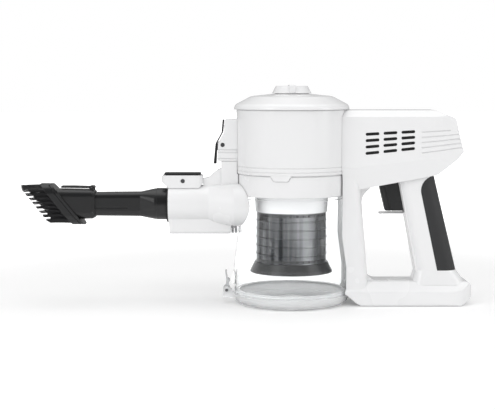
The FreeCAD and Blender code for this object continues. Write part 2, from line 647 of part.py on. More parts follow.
def release_rocker():
    """Rocker with a catch that drops through the slot in the inlet's wall."""
    half = POD_HALF - 1.9 - FIT
    body = side_prism([
        (POD_X0 + 4.5, 130.6, 0.5), (POD_PIN_X - 6, 126.8, 1), (POD_PIN_X + 6, 126.8, 1),
        (POD_X1 - 5, 130.6, 0.5), (POD_X1 - 5, POD_Z1 + 0.4, 0.5), (POD_X0 + 4.5, POD_Z1 + 0.4, 0.5),
    ], -half, half)
    hub = rod_y(4.0, POD_PIN_X, POD_PIN_Z, -half, half)
    hook = box(-130, -126.5, -4, 4, DUCT_Z + DUCT_BORE_R + 0.6, 132)
    rocker = body.fuse(hub).fuse(hook)
    rocker = rocker.cut(rod_x(DUCT_BORE_R + 0.5, -140, -100, 0, DUCT_Z))
    return rocker.cut(rod_y(PIN_R + PIN_PLAY, POD_PIN_X, POD_PIN_Z, -20, 20))


def rocker_pad():
    """Dark top plate of the rocker with softened edges."""
    plate = plan_prism([
        (POD_X0 + 2.6, -9.2, 3.5), (POD_X1 - 2.2, -9.2, 3.5), (POD_X1 - 2.2, 9.2, 3.5), (POD_X0 + 2.6, 9.2, 3.5),
    ], POD_Z1 + 0.4, POD_Z1 + 2.4)
    return plate.makeFillet(0.7, [edge for edge in plate.Edges if edge.BoundBox.ZMin > POD_Z1 + 2])


def rocker_pin():
    return rod_y(PIN_R, POD_PIN_X, POD_PIN_Z, -POD_HALF - 0.3, POD_HALF + 0.3)


def rocker_spring():
    return rod_z(2.2, DUCT_Z + DUCT_R + SNUG, DUCT_Z + DUCT_R + 3.9, POD_X1 - 10)


def inlet_seal():
    """Black ring on the mouth of the inlet."""
    ring = rod_x(DUCT_R - 0.6, DUCT_X0 - 1.5, DUCT_X0, 0, DUCT_Z)
    ring = ring.cut(rod_x(TOOL_R + 0.5, DUCT_X0 - 3, DUCT_X0 + 1, 0, DUCT_Z))
    return ring.cut(box(-140, -100, -5.5, 5.5, DUCT_Z + 10, 140)).cut(box(
        -140, -100, -POD_HALF, POD_HALF, 120.5, 140))


def contact_pins():
    """Two plated contacts that leave the rear of the contact housing."""
    pins = []
    for x in (KEEL_X1 + 1.8, KEEL_X1 + 5.2):
        pin = rod_z(1.3, KEEL_Z0 + 0.5, KEEL_Z0 + 9.5, x, -4)
        pins.append(pin)
    bar = box(KEEL_X1 - 2.9 + 3.0, KEEL_X1 + 6.2, -5, -3, KEEL_Z0 + 5.5, KEEL_Z0 + 7.5)
    return pins[0].fuse(pins[1]).fuse(bar)


# ---- handle -------------------------------------------------------------------------------
UPPER_SIDE = [
    (30, 118, 0), (70, 120.5, 0), (149, 135.5, 8), (170.0, 152.0, 5), (176.2, 159.0, 2),
    (167.2, 193.6, 5), (147, HOUSING_TOP, 14), (30, HOUSING_TOP, 0),
]
BASE_SIDE = [
    (40, 0, 0), (174, 0, 9), (BASE_X1, 8, 6), (BASE_X1, 19.6, 3), (181, BASE_TOP, 4),
    (40, BASE_TOP, 0),
]
GRIP_FRONT = (117.0, 93.6, 0.2027)      # X at height Z, and X lost per unit of height
GRIP_BACK = (148.2, 131.0, 0.2427)
OPENING = [
    (78.0, 25.2, 11), (130.6, 25.2, 4), (111.2, 129.0, 4), (82.0, 122.5, 6), (71.9, 112.0, 14),
]


def line_x(line, z):
    return line[0] + (line[1] - z) * line[2]


def upper_housing(d):
    """Beak-shaped upper housing: side view, end view and plan view meet."""
    half, top, shoulder = HANDLE_HALF, HOUSING_TOP, HOUSING_SHOULDER
    def end_view(waist, low):
        wide = half + 2
        knee = waist + 2 * (waist - low) / (half - 20)
        ledge = shoulder - 2 * (top - shoulder) / 9.5
        return [(-20, low, 3), (20, low, 3), (wide, knee, 0), (wide, ledge, 0), (half - 9.5, top, 4),
                (-half + 9.5, top, 4), (-wide, ledge, 0), (-wide, knee, 0)]
    side = side_prism(inset(UPPER_SIDE, d), -40, 40)
    ends = loft_along(inset(end_view(138, 107), d), 20, inset(end_view(159, 129), d), 200)
    plan = plan_prism(inset([
        (20, -half, 0), (150, -half, 30), (180, -half + 7, 7), (180, half - 7, 7), (150, half, 30), (20, half, 0),
    ], d), 90, 210)
    return side.common(plan).common(ends)


def strut(d):
    def plan(x1):
        return [(45, -STRUT_HALF, 0), (x1, -STRUT_HALF, 9), (x1, STRUT_HALF, 9), (45, STRUT_HALF, 0)]
    return loft_up(inset(plan(79.6), d), 14 + d, inset(plan(69.3), d), 140)


def grip(d, z0=18.0, z1=142.0):
    def plan(z):
        front, back = line_x(GRIP_FRONT, z), line_x(GRIP_BACK, z)
        return [(front, -GRIP_HALF, 11), (back, -GRIP_HALF, 14), (back, GRIP_HALF, 14), (front, GRIP_HALF, 11)]
    return loft_up(inset(plan(z0), d), z0, inset(plan(z1), d), z1)


def ankle(d):
    """Flared foot of the grip where it meets the base."""
    def plan(z, spread):
        front, back = line_x(GRIP_FRONT, z) - spread, line_x(GRIP_BACK, z) + spread
        half = GRIP_HALF + spread / 2
        return [(front, -half, 11), (back, -half, 13), (back, half, 13), (front, half, 11)]
    return loft_up(inset(plan(21, 7), d), 21, inset(plan(36, 0), d), 36)


def base(d):
    half = BASE_HALF
    def end_view():
        return [(-half, 0, 3), (half, 0, 3), (half, BASE_SHOULDER, 3), (half - 11, BASE_TOP, 5),
                (-half + 11, BASE_TOP, 5), (-half, BASE_SHOULDER, 3)]
    side = side_prism(inset(BASE_SIDE, d), -40, 40)
    ends = loft_along(inset(end_view(), d), 40, inset(end_view(), d), 200)
    plan = plan_prism(inset([
        (40, -half, 0), (BASE_X1, -half, 22), (BASE_X1, half, 22), (40, half, 0),
    ], d), -1, 40)
    return side.common(ends).common(plan)


def opening_frame():
    """Rounds the corners of the hand opening between housing, strut, grip and base."""
    outline = [(58, 12, 0), (160, 12, 0), (140, 142, 0), (58, 142, 0)]
    plate = side_prism(outline, -13.5, 13.5)
    hole = side_prism(OPENING, -30, 30)
    return plate.cut(hole)


def trigger_room():
    return side_prism([
        (89.0, 126.6, 0), (96.4, SHELF_Z + 1, 0), (131.0, SHELF_Z + 1, 0), (124.0, 127.5, 0), (108.0, 129.4, 0),
    ], -TRIGGER_HALF - FIT, TRIGGER_HALF + FIT)


def pad_region(grow):
    """Side outline of the soft pad, with rounded front corners."""
    return side_prism(inset([
        (152.5, 27.0, 9), (190, 21.0, 0), (160, 140.0, 0), (130.5, 128.5, 15),
    ], -grow), -40, 40)


def grip_pad():
    layer = grip(0).cut(grip(PAD_T))
    return layer.common(pad_region(0)).cut(upper_housing(-SNUG)).cut(base(-SNUG)).cut(ankle(-SNUG))


def vent_slots():
    """Three columns and four rows of outlet slots; the rows fan with the housing."""
    cuts = []
    for column in range(3):
        for row in range(4):
            x = 74.6 + 18.2 * column
            slope = math.tan(math.radians(3.2 + 0.9 * row))
            z = 177.7 - 6.4 * row + (x + 7 - 81.8) * slope
            slot = side_prism([
                (x, z - 1.5, 1.45), (x + 14, z - 1.5, 1.45), (x + 14, z + 1.5, 1.45), (x, z + 1.5, 1.45),
            ], -40, 40)
            slot.rotate(V(x + 7, 0, z), AXIS_Y, -math.degrees(math.atan(slope)))
            cuts.append(slot)
    return cuts


def rear_grooves():
    """Shallow lines that run along the rear sides and round the back."""
    skin = upper_housing(-1).cut(upper_housing(0.7))
    grooves = []
    for row in range(5):
        band = box(132, 200, -40, 40, -0.45, 0.45)
        band.rotate(V(132, 0, 0), AXIS_Y, -(3.4 + 1.0 * row))
        band.translate(V(0, 0, 179.4 - 5.3 * row))
        grooves.append(band.common(skin))
    return grooves


BOSSES = [(64.6, 190.0), (165.0, 181.0), (84.0, 131.0), (67.0, 60.0), (141.0, 60.0), (100.0, 11.0), (160.0, 11.0)]


def handle_outside():
    """Solid handle with the recess for the soft pad."""
    outer = upper_housing(0).fuse(strut(0)).fuse(grip(0)).fuse(ankle(0)).fuse(base(0)).fuse(opening_frame())
    recess = grip(-1).cut(grip(PAD_T + SNUG)).common(pad_region(SNUG)).cut(upper_housing(-SNUG / 2))
    return outer.cut(recess.cut(base(-SNUG / 2)).cut(ankle(-SNUG / 2)))


def handle_shell():
    """Whole hollow handle before it is split down the middle."""
    outer = handle_outside()
    inner = upper_housing(WALL).fuse(base(WALL)).fuse(strut(WALL)).fuse(grip(PAD_T + WALL, 22, 136))
    inner = inner.common(box(58, 250, -60, 60, -10, 250))
    shell = outer.cut(inner.cut(box(56, 70, -60, 60, 0, 22)))
    shell = shell.cut(trigger_room())
    shell = shell.fuse(finger_shelf())
    shell = shell.cut(rod_z(HEAD_R + SNUG, HEAD_Z0 - FIT, HEAD_Z1 + 28))
    shell = shell.cut(rod_z(LID_R + 0.4, HEAD_Z1 - 0.5, HEAD_Z1 + 28))
    shell = shell.cut(cup_outside(CUP_GAP, -1))
    shell = shell.cut(hinge_pocket())
    shell = shell.cut(rod_x(SOCKET_R + SNUG, BASE_X1 - 20, BASE_X1 + 5, 0, SOCKET_Z))
    for cut in vent_slots() + rear_grooves():
        shell = shell.cut(cut)
    return shell


def finger_shelf():
    x0, x1 = 91.0, line_x(GRIP_FRONT, SHELF_Z) + 3
    return plan_prism([
        (x0, -9, 4), (x1, -9, 0), (x1, 9, 0), (x0, 9, 4),
    ], SHELF_Z - SHELF_T, SHELF_Z)


def hinge_pocket():
    """Room for the cup's hinge and for the door to swing, open at the bottom."""
    room = side_prism([
        (50, -2, 0), (74, -2, 0), (72, 8, 3), (70, 26, 2), (50, 26, 0),
    ], -HINGE_HALF - 1.5, HINGE_HALF + 1.5)
    relief = side_prism([(50, -2, 0), (76, -2, 0), (66, 3.5, 4), (56, 12, 0), (50, 12, 0)], -40, 40)
    return room.fuse(relief)


def handle_half(side):
    """side is -1 for the near half and +1 for the far half, which takes the screws."""
    lane = box(30, 250, 0, 60, -10, 250) if side > 0 else box(30, 250, -60, 0, -10, 250)
    half = handle_shell().common(lane)
    solid = handle_outside()
    for x, z in BOSSES:
        post = rod_y(3.6, x, z, -40, 40).common(solid).common(lane)
        if side > 0:
            half = half.fuse(post)
            half = half.cut(rod_y(1.7, x, z, -1, 60)).cut(rod_y(3.3, x, z, 12, 60))
        else:
            half = half.fuse(post).cut(rod_y(1.35, x, z, -12, 1))
    return half


def housing_screws():
    screws = []
    for x, z in BOSSES:
        shank = rod_y(1.3, x, z, -11, 12.2)
        head = rod_y(3.0, x, z, 12.1, 14.3).cut(rod_y(1.1, x, z, 13.3, 15))
        screws.append(shank.fuse(head))
    return Part.makeCompound(screws)


def trigger():
    body = side_prism([
        (96.4, 126.2, 1), (103.3, SHELF_Z + 2, 1), (118.3, SHELF_Z + 2, 1), (112.0, 127.2, 4),
    ], -TRIGGER_HALF, TRIGGER_HALF)
    stem = box(110, 116, -4, 4, 104, 112)
    return body.fuse(stem)


def trigger_pad():
    """Black front strip of the trigger, rounded across."""
    strip = side_prism([
        (90.3, 126.0, 0.6), (97.3, SHELF_Z + 2, 1), (103.2, SHELF_Z + 2, 0.5), (96.3, 126.1, 0.5),
    ], -TRIGGER_HALF, TRIGGER_HALF)
    return strip.common(loft_up(
        [(90.5 + 7.2, -TRIGGER_HALF, 4), (115, -TRIGGER_HALF, 0), (115, TRIGGER_HALF, 0), (97.7, TRIGGER_HALF, 4)],
        95.0,
        [(90.1, -TRIGGER_HALF, 4), (108, -TRIGGER_HALF, 0), (108, TRIGGER_HALF, 0), (90.1, TRIGGER_HALF, 4)],
        127.0))


def trigger_spring():
    return rod_x(2.6, 114.8, 122.0, 0, 117.5)


def trigger_switch():
    """Switch body on its bracket, behind the trigger's stem."""
    body = box(122.3, 133, -6, 6, 105.5, 121)
    reach = GRIP_HALF - PAD_T - WALL - 2 * SNUG
    bracket = box(128, 131, -reach, reach, 106, 111)
    return body.fuse(bracket)


def vent_screen(side):
    y = side * (HANDLE_HALF - WALL - 0.2)
    plate = box(72.4, 132, min(y, y - side * 1.2), max(y, y - side * 1.2), 152.5, 186)
    return plate


CELL_R, CELL_LEN = 9.1, 57.0
CELL_X0 = 90.5                     # front edge that the rows' cells start from
CELL_Z0 = 144.0 + WALL             # axis of the lowest row, above the housing's floor
CELL_PITCH = 18.4


def battery_cells():
    """Six cylindrical cells, two wide and three high, behind the vents."""
    cells = []
    for row in range(3):
        x0 = CELL_X0 + (2 * row if row else -2)
        for side in (-1, 1):
            axis = (side * (CELL_R + 0.2), CELL_Z0 + CELL_PITCH * row)
            cells.append(rod_x(CELL_R, x0, x0 + CELL_LEN, *axis))
    return Part.makeCompound(cells)


def battery_case():
    """Tray under and around the cells, held by the shell's ribs."""
    x0, x1 = CELL_X0 - 2.6, CELL_X0 + CELL_LEN + 8.6
    half = 2 * CELL_R + 1.0
    z0, z1 = CELL_Z0 - CELL_R - 0.5, CELL_Z0 + 2 * CELL_PITCH + CELL_R + 0.3
    tray = box(x0 - 1.4, x1 + 1.4, -half - 1.4, half + 1.4, z0 - 1.4, z1 + 1.4)
    tray = tray.cut(box(x0, x1, -half, half, z0, z1))
    tray = tray.cut(box(x0 + 10, x1 - 9, -30, 30, z0 + 13, z1 - 6.5))
    return tray.common(upper_housing(WALL + 0.2))


def controller_board():
    board_half = HANDLE_HALF - WALL - 2 * SNUG
    board = box(70.0, 71.6, -board_half, board_half, 144, 186)
    chips = [box(71.6, 74, -14 + 11 * i, -7 + 11 * i, 150, 160) for i in range(3)]
    for chip in chips:
        board = board.fuse(chip)
    caps = [rod_x(4, 71.6, 84, y, 176) for y in (-10, 0, 10)]
    for cap in caps:
        board = board.fuse(cap)
    return board


SOCKET_R, SOCKET_Z = 4.6, 12.0


def charge_socket():
    """Round charging inlet in the rear of the base, with its centre pin."""
    barrel = rod_x(SOCKET_R, BASE_X1 - 16, BASE_X1 - 0.2, 0, SOCKET_Z)
    barrel = barrel.cut(rod_x(2.9, BASE_X1 - 11, BASE_X1 + 5, 0, SOCKET_Z))
    return barrel.fuse(rod_x(1.0, BASE_X1 - 12, BASE_X1 - 1.5, 0, SOCKET_Z))


# ---- two-in-one tool ----------------------------------------------------------------------
def oval(x, half_h, half_w, r, y=0.0):
    corners = [(y - half_w, DUCT_Z - half_h, r), (y + half_w, DUCT_Z - half_h, r),
               (y + half_w, DUCT_Z + half_h, r), (y - half_w, DUCT_Z + half_h, r)]
    return rounded_wire(corners, lambda u, v: V(x, u, v))


def slanted_half(x_axis, keep_rear):
    """Half space behind or before a plane that leans with the brush, met at the tool's axis."""
    x0, x1 = (0, 400) if keep_rear else (-400, 0)
    block = box(x0, x1, -200, 200, -200, 200)
    block.rotate(V(0, 0, 0), AXIS_Y, -math.degrees(SLANT))
    block.translate(V(x_axis, 0, DUCT_Z))
    return block


def neck_solid(d):
    """Outer (d = 0) or inner (d = wall) shape of the crevice nozzle and its spigot."""
    r = TOOL_R - d
    spigot = rod_x(r, FLARE_X + 10, DUCT_X0 + TOOL_SEAT + (d and 5), 0, DUCT_Z)
    neck = Part.makeLoft([
        oval(-290, NECK_H - 1.2 - d, NECK_W - 1.2 - d, 5.5 - d), oval(NECK_X1, NECK_H - d, NECK_W - d, 6 - d),
    ], True, True)
    flare = Part.makeLoft([
        oval(NECK_X1, NECK_H - d, NECK_W - d, 6 - d),
        oval(FLARE_X, r - 0.1, r - 0.1, r - 0.6),
        oval(FLARE_X + 10.0, r, r, r - 0.05),
    ], True, True)
    return spigot.fuse(neck).fuse(flare)


def crevice_nozzle():
    body = neck_solid(0).common(slanted_half(TIP_X, True))
    collar = rod_x(TOOL_R + 0.35, FLARE_X + 2, DUCT_X0 - 2.0, 0, DUCT_Z)
    body = body.fuse(collar).cut(neck_solid(TOOL_WALL))
    groove = box(-232, -170, NECK_W - 1.0, NECK_W + 3, DUCT_Z - 4.4, DUCT_Z - 2.2)
    detent = box(-184.5, -180.5, -2.5, 2.5, DUCT_Z + NECK_H - 1.2, DUCT_Z + 20)
    return body.cut(both_sides(groove)).cut(detent)


def brush_slide():
    """Brush carrier: sleeve round the neck and a slanted rim that holds the bristles."""
    h, w = 15.3, 13.6
    sleeve = Part.makeLoft([
        oval(-262, h + 0.8, w + 0.3, 8), oval(BRUSH_X1 - 3, h - 0.2, w - 0.2, 7), oval(BRUSH_X1, h - 1.6, w - 1.6, 6),
    ], True, True).common(slanted_half(RIM_X + 4, True))
    rim = Part.makeLoft([oval(-330, 21.2, 15.4, 10), oval(-180, 21.2, 15.4, 10)], True, True)
    rim = rim.common(slanted_half(RIM_X, True)).common(slanted_half(RIM_X + RIM_T, False))
    channel = Part.makeLoft([
        oval(-330, NECK_H + FIT, NECK_W + FIT, 6), oval(-150, NECK_H + FIT, NECK_W + FIT, 6),
    ], True, True)
    groove = Part.makeLoft([oval(-330, 21.9, 16.1, 10), oval(-180, 21.9, 16.1, 10)], True, True).cut(
        Part.makeLoft([oval(-331, 20.6, 14.8, 10), oval(-179, 20.6, 14.8, 10)], True, True))
    groove = groove.common(slanted_half(RIM_X + 8.2, True)).common(slanted_half(RIM_X + 9.4, False))
    return sleeve.fuse(rim).cut(channel).cut(groove)


def tuft_places():
    """(y, z offset) of each tuft: straight rows down both sides, arcs over the ends."""
    places = []
    for row in range(-3, 5):
        z = (row - 0.5) * TUFT_PITCH
        places += [(-13.3, z), (13.3, z)]
    for y in (-8.6, -3.0, 3.0, 8.6):
        lift = 18.6 if abs(y) < 5 else 17.0
        places += [(y, lift), (y, -lift)]
    return places


def bristles():
    """Stiff tufts that stand on the rim's slanted face, parallel to the nozzle."""
    between = slanted_half(RIM_X, False).common(slanted_half(RIM_X - TUFT_LEN, True))
    tufts = []
    for y, dz in tuft_places():
        tufts.append(rod_x(TUFT_R, -320, -200, y, DUCT_Z + dz).common(between))
    return Part.makeCompound(tufts)


CATCH_PIN_X = -207.6
CATCH_Z = 121.4


def slide_catch():
    """Small lever on top of the brush slide that locks it fore and aft."""
    lever = side_prism([
        (-239.5, 120.9, 0.5), (-204.5, 120.4, 0.5), (-204.0, 122.2, 0.8), (-225, 122.9, 4), (-239.5, 122.9, 0.6),
    ], -5, 5)
    lever = lever.fuse(rod_y(1.9, CATCH_PIN_X, CATCH_Z, -5, 5))
    return lever.cut(rod_y(0.8 + PIN_PLAY, CATCH_PIN_X, CATCH_Z, -10, 10))


def slide_catch_mount():
    """Two ears on the brush slide and the pin through them."""
    ears = both_sides(box(CATCH_PIN_X - 2.4, CATCH_PIN_X + 2.4, 5 + FIT, 7, 117, 122.8))
    return ears


def slide_catch_pin():
    return rod_y(0.8, CATCH_PIN_X, CATCH_Z, -7.2, 7.2)


def brush_slide_whole():
    slide = brush_slide().fuse(slide_catch_mount().cut(brush_channel()))
    return slide.cut(rod_y(0.8 + SNUG / 4, CATCH_PIN_X, CATCH_Z, -20, 20))


def brush_channel():
    return Part.makeLoft([
        oval(-330, NECK_H + FIT, NECK_W + FIT, 6), oval(-150, NECK_H + FIT, NECK_W + FIT, 6),
    ], True, True)


# ---- output -------------------------------------------------------------------------------
PIECES = {
    "motor_head_shell": head_shell, "exhaust_lid": exhaust_lid, "filter_knob": filter_knob,
    "lid_foam": lid_foam, "exhaust_filter": exhaust_filter, "motor_can": motor_can, "motor_bearings": motor_bearings,
    "motor_carrier": motor_carrier, "motor_shaft": motor_shaft, "impeller": impeller,
    "cup_latch_bracket": latch_bracket, "cup_latch_lever": latch_lever, "cup_latch_pin": latch_pin,
    "cup_latch_spring": latch_spring,
    "cup_collar": cup_collar, "cup_seal": cup_seal, "pre_filter": pre_filter, "inlet_duct": inlet_duct,
    "clear_cup": clear_cup, "cup_door": cup_door, "door_hinge_pin": door_hinge_pin, "door_seal": door_seal,
    "door_latch": door_latch, "door_latch_pin": door_latch_pin,
    "mesh_sleeve": mesh_sleeve, "mesh_screen": mesh_screen, "mesh_frame": mesh_frame,
    "cyclone_cone": cyclone_cone, "mesh_skirt": mesh_skirt,
    "release_pod": release_pod, "release_rocker": release_rocker, "rocker_pad": rocker_pad,
    "rocker_pin": rocker_pin, "rocker_spring": rocker_spring, "inlet_seal": inlet_seal,
    "contact_pins": contact_pins,
    "handle_shell_near": lambda: handle_half(-1), "handle_shell_far": lambda: handle_half(1),
    "housing_screws": housing_screws, "grip_pad": grip_pad, "trigger": trigger, "trigger_pad": trigger_pad,
    "trigger_spring": trigger_spring, "trigger_switch": trigger_switch,
    "vent_screen_near": lambda: vent_screen(-1), "vent_screen_far": lambda: vent_screen(1),
    "battery_cells": battery_cells, "battery_case": battery_case, "controller_board": controller_board,
    "charge_socket": charge_socket,
    "crevice_nozzle": crevice_nozzle, "brush_slide": brush_slide_whole, "bristles": bristles,
    "slide_catch": slide_catch, "slide_catch_pin": slide_catch_pin,
}


def main():
    os.makedirs("parts", exist_ok=True)
    for name, make in PIECES.items():
        shape = make()
        solids = shape.Solids
        whole = Part.makeCompound(solids) if len(solids) > 1 else solids[0]
        print(name, len(solids), "solids", round(sum(s.Volume for s in solids)), "mm3",
              "" if all(s.isValid() for s in solids) else "INVALID")
        whole.exportStep(f"parts/{name}.step")


main()
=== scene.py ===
# %% [markdown]
# # A cordless handheld vacuum, dressed for the studio
# The real machine is an assembly of moulded shells, a clear cup, a steel screen and a tufted brush.
# Its exact solids come ready made as a fixed frame. This lesson gives every solid its finish, makes
# the fine pieces that a solid modeller leaves plain, and then builds a small white studio round it.

# %% Load the frame
import json
import math

import bpy
import numpy as np
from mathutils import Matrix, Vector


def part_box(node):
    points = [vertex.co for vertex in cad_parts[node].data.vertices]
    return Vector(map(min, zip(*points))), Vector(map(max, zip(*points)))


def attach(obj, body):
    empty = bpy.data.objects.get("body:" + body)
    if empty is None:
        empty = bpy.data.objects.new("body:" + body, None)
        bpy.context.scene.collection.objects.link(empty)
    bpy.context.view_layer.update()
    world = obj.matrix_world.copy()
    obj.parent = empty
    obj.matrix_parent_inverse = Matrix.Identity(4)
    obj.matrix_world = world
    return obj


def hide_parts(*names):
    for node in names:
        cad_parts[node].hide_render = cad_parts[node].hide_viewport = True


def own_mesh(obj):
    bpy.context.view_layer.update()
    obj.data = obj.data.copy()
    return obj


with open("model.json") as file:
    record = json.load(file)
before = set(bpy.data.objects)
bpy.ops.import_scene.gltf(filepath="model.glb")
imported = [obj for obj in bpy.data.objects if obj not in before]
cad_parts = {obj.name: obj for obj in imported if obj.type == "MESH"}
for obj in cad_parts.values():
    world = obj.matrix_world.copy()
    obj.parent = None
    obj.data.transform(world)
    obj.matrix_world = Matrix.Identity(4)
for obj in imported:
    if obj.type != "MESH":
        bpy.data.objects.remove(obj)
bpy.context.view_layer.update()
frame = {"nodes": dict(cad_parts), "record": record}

nodes, record = frame["nodes"], frame["record"]
print("nodes in the frame:", len(nodes))


# %% [markdown]
# ## Small helpers for surfaces
# Each new piece is a surface worked out on a grid of two parameters, as one numpy array. A grid can
# close on itself one way or both ways, as a ring does. Faces are quads whose corners follow the grid,
# so one function can turn any such array into a mesh.

# %% Turn a grid of points into a mesh
def grid_faces(rows, cols, wrap_rows, wrap_cols, start=0):
    """Quads between neighbouring grid points; a wrapped direction joins its last line to its first."""
    i = np.arange(rows if wrap_rows else rows - 1)
    j = np.arange(cols if wrap_cols else cols - 1)
    i, j = np.meshgrid(i, j, indexing="ij")
    i1, j1 = (i + 1) % rows, (j + 1) % cols
    quads = np.stack([i * cols + j, i1 * cols + j, i1 * cols + j1, i * cols + j1], axis=-1)
    return quads.reshape(-1, 4) + start


def mesh_object(name, points, faces, smooth=True, caps=()):
    """One object at the origin from an array of points, an array of faces and end caps of any size."""
    mesh = bpy.data.meshes.new(name)
    mesh.from_pydata(points.reshape(-1, 3).tolist(), [], faces.tolist() + [cap.tolist() for cap in caps])
    mesh.polygons.foreach_set("use_smooth", np.full(len(mesh.polygons), smooth))
    mesh.update()
    made = bpy.data.objects.new(name, mesh)
    bpy.context.collection.objects.link(made)
    print(name, len(mesh.vertices), "points", len(mesh.polygons), "faces")
    return made


def uv_from_grid(made, rows, cols, wrap_rows, wrap_cols, size):
    """UV map in metres: each corner takes its row and column times the size of one step."""
    i = np.arange(rows if wrap_rows else rows - 1)
    j = np.arange(cols if wrap_cols else cols - 1)
    i, j = np.meshgrid(i, j, indexing="ij")
    corners = np.stack([
        np.stack([i + down, j + across], -1) for down, across in ((0, 0), (1, 0), (1, 1), (0, 1))
    ], axis=-2).reshape(-1, 2) * np.array(size)
    layer = made.data.uv_layers.new(name="surface")
    layer.data.foreach_set("uv", corners.ravel())


# %% [markdown]
# ## Shared surface effects
# Moulded plastic is never quite even: it has a fine spark-eroded grain, broad and faint changes of gloss, and
# softly rounded edges. One node group gives all three, and it also paints a highlight that lightens the
# colour along the rounded edges; every material places it with its own numbers. It works on object
# coordinates, so it stays put when a piece moves.

# %% Node group: moulded skin
def new_group(name, inputs, outputs):
    """Empty node group with named sockets; inputs are (name, type, default)."""
    group = bpy.data.node_groups.new(name, "ShaderNodeTree")
    for label, kind, value in inputs:
        made = group.interface.new_socket(label, in_out="INPUT", socket_type=kind)
        made.default_value = value
    for label, kind in outputs:
        group.interface.new_socket(label, in_out="OUTPUT", socket_type=kind)
    return group, group.nodes.new("NodeGroupInput"), group.nodes.new("NodeGroupOutput")


def place(tree, kind, **settings):
    """New node with its settings; a key that names an input sets that input instead."""
    node = tree.nodes.new(kind)
    for key, value in settings.items():
        label = key.replace("_", " ")
        if hasattr(node, key):
            setattr(node, key, value)
        else:
            node.inputs[label].default_value = value
    return node


def connect(tree, *pairs):
    """Link each output to the input beside it."""
    for output, target in pairs:
        tree.links.new(output, target)


def set_range(node, from_min=0.0, from_max=1.0, to_min=0.0, to_max=1.0):
    """Fill the four limits of a Map Range node."""
    node.inputs["From Min"].default_value, node.inputs["From Max"].default_value = from_min, from_max
    node.inputs["To Min"].default_value, node.inputs["To Max"].default_value = to_min, to_max


def moulded_skin_group():
    group, source, sink = new_group("moulded skin", [
        ("Color", "NodeSocketColor", (0.8, 0.8, 0.8, 1)),
        ("Shade Color", "NodeSocketColor", (0.7, 0.7, 0.7, 1)),
        ("Roughness", "NodeSocketFloat", 0.35), ("Gloss Change", "NodeSocketFloat", 0.05),
        ("Grain Scale", "NodeSocketFloat", 2500.0), ("Grain Depth", "NodeSocketFloat", 0.05),
        ("Edge Radius", "NodeSocketFloat", 0.0006), ("Painted Edge Highlight", "NodeSocketFloat", 0.1),
    ], [("Color", "NodeSocketColor"), ("Roughness", "NodeSocketFloat"), ("Normal", "NodeSocketVector")])
    where = place(group, "ShaderNodeTexCoord")
    broad = place(group, "ShaderNodeTexNoise", Scale=14.0, Detail=3.0)
    fine = place(group, "ShaderNodeTexNoise", Detail=2.0)
    blend = place(group, "ShaderNodeMix", data_type="RGBA")
    round_edge = place(group, "ShaderNodeBevel", samples=6)
    facet = place(group, "ShaderNodeNewGeometry")
    dot = place(group, "ShaderNodeVectorMath", operation="DOT_PRODUCT")
    # painted highlight: where the rounded normal turns away from the true one, the colour is made lighter
    edge = place(group, "ShaderNodeMapRange")
    set_range(edge, from_min=0.995, from_max=0.80)
    painted_edge_highlight = place(group, "ShaderNodeMath", operation="MULTIPLY")
    bright = place(group, "ShaderNodeHueSaturation")
    add = place(group, "ShaderNodeMath", operation="ADD")
    add.inputs[1].default_value = 1.0
    rough = place(group, "ShaderNodeMapRange")
    low = place(group, "ShaderNodeMath", operation="SUBTRACT")
    high = place(group, "ShaderNodeMath", operation="ADD")
    bump = place(group, "ShaderNodeBump", Distance=0.0002)
    connect(
        group,
        (where.outputs["Object"], broad.inputs["Vector"]),
        (where.outputs["Object"], fine.inputs["Vector"]),
        (source.outputs["Grain Scale"], fine.inputs["Scale"]),
        (broad.outputs["Fac"], blend.inputs["Factor"]),
        (source.outputs["Color"], blend.inputs["A"]),
        (source.outputs["Shade Color"], blend.inputs["B"]),
        (source.outputs["Edge Radius"], round_edge.inputs["Radius"]),
        (round_edge.outputs["Normal"], dot.inputs[0]),
        (facet.outputs["Normal"], dot.inputs[1]),
        (dot.outputs["Value"], edge.inputs["Value"]),
        (edge.outputs["Result"], painted_edge_highlight.inputs[0]),
        (source.outputs["Painted Edge Highlight"], painted_edge_highlight.inputs[1]),
        (painted_edge_highlight.outputs[0], add.inputs[0]),
        (blend.outputs["Result"], bright.inputs["Color"]),
        (add.outputs[0], bright.inputs["Value"]),
        (source.outputs["Roughness"], low.inputs[0]),
        (source.outputs["Gloss Change"], low.inputs[1]),
        (source.outputs["Roughness"], high.inputs[0]),
        (source.outputs["Gloss Change"], high.inputs[1]),
        (broad.outputs["Fac"], rough.inputs["Value"]),
        (low.outputs[0], rough.inputs["To Min"]),
        (high.outputs[0], rough.inputs["To Max"]),
        (fine.outputs["Fac"], bump.inputs["Height"]),
        (source.outputs["Grain Depth"], bump.inputs["Strength"]),
        (round_edge.outputs["Normal"], bump.inputs["Normal"]),
        (bright.outputs["Color"], sink.inputs["Color"]),
        (rough.outputs["Result"], sink.inputs["Roughness"]),
        (bump.outputs["Normal"], sink.inputs["Normal"]),
    )
    return group


skin_group = moulded_skin_group()
print("group sockets:", [item.name for item in skin_group.interface.items_tree])


# %% [markdown]
# ## Plastics and rubber
# The shells are glossy white, the tool and trigger are dark grey, and the pad is a soft overmould.
# They differ only in colour, gloss, grain, how round their edges look and how strong the painted highlight on
# those edges is, so one function makes them all. The shader itself stays in each material, with its constant
# values on its own sockets.

# %% Make the moulded materials
def empty_material(name):
    material = bpy.data.materials.new(name)
    material.use_nodes = True
    tree = material.node_tree
    return material, tree, tree.nodes["Principled BSDF"]


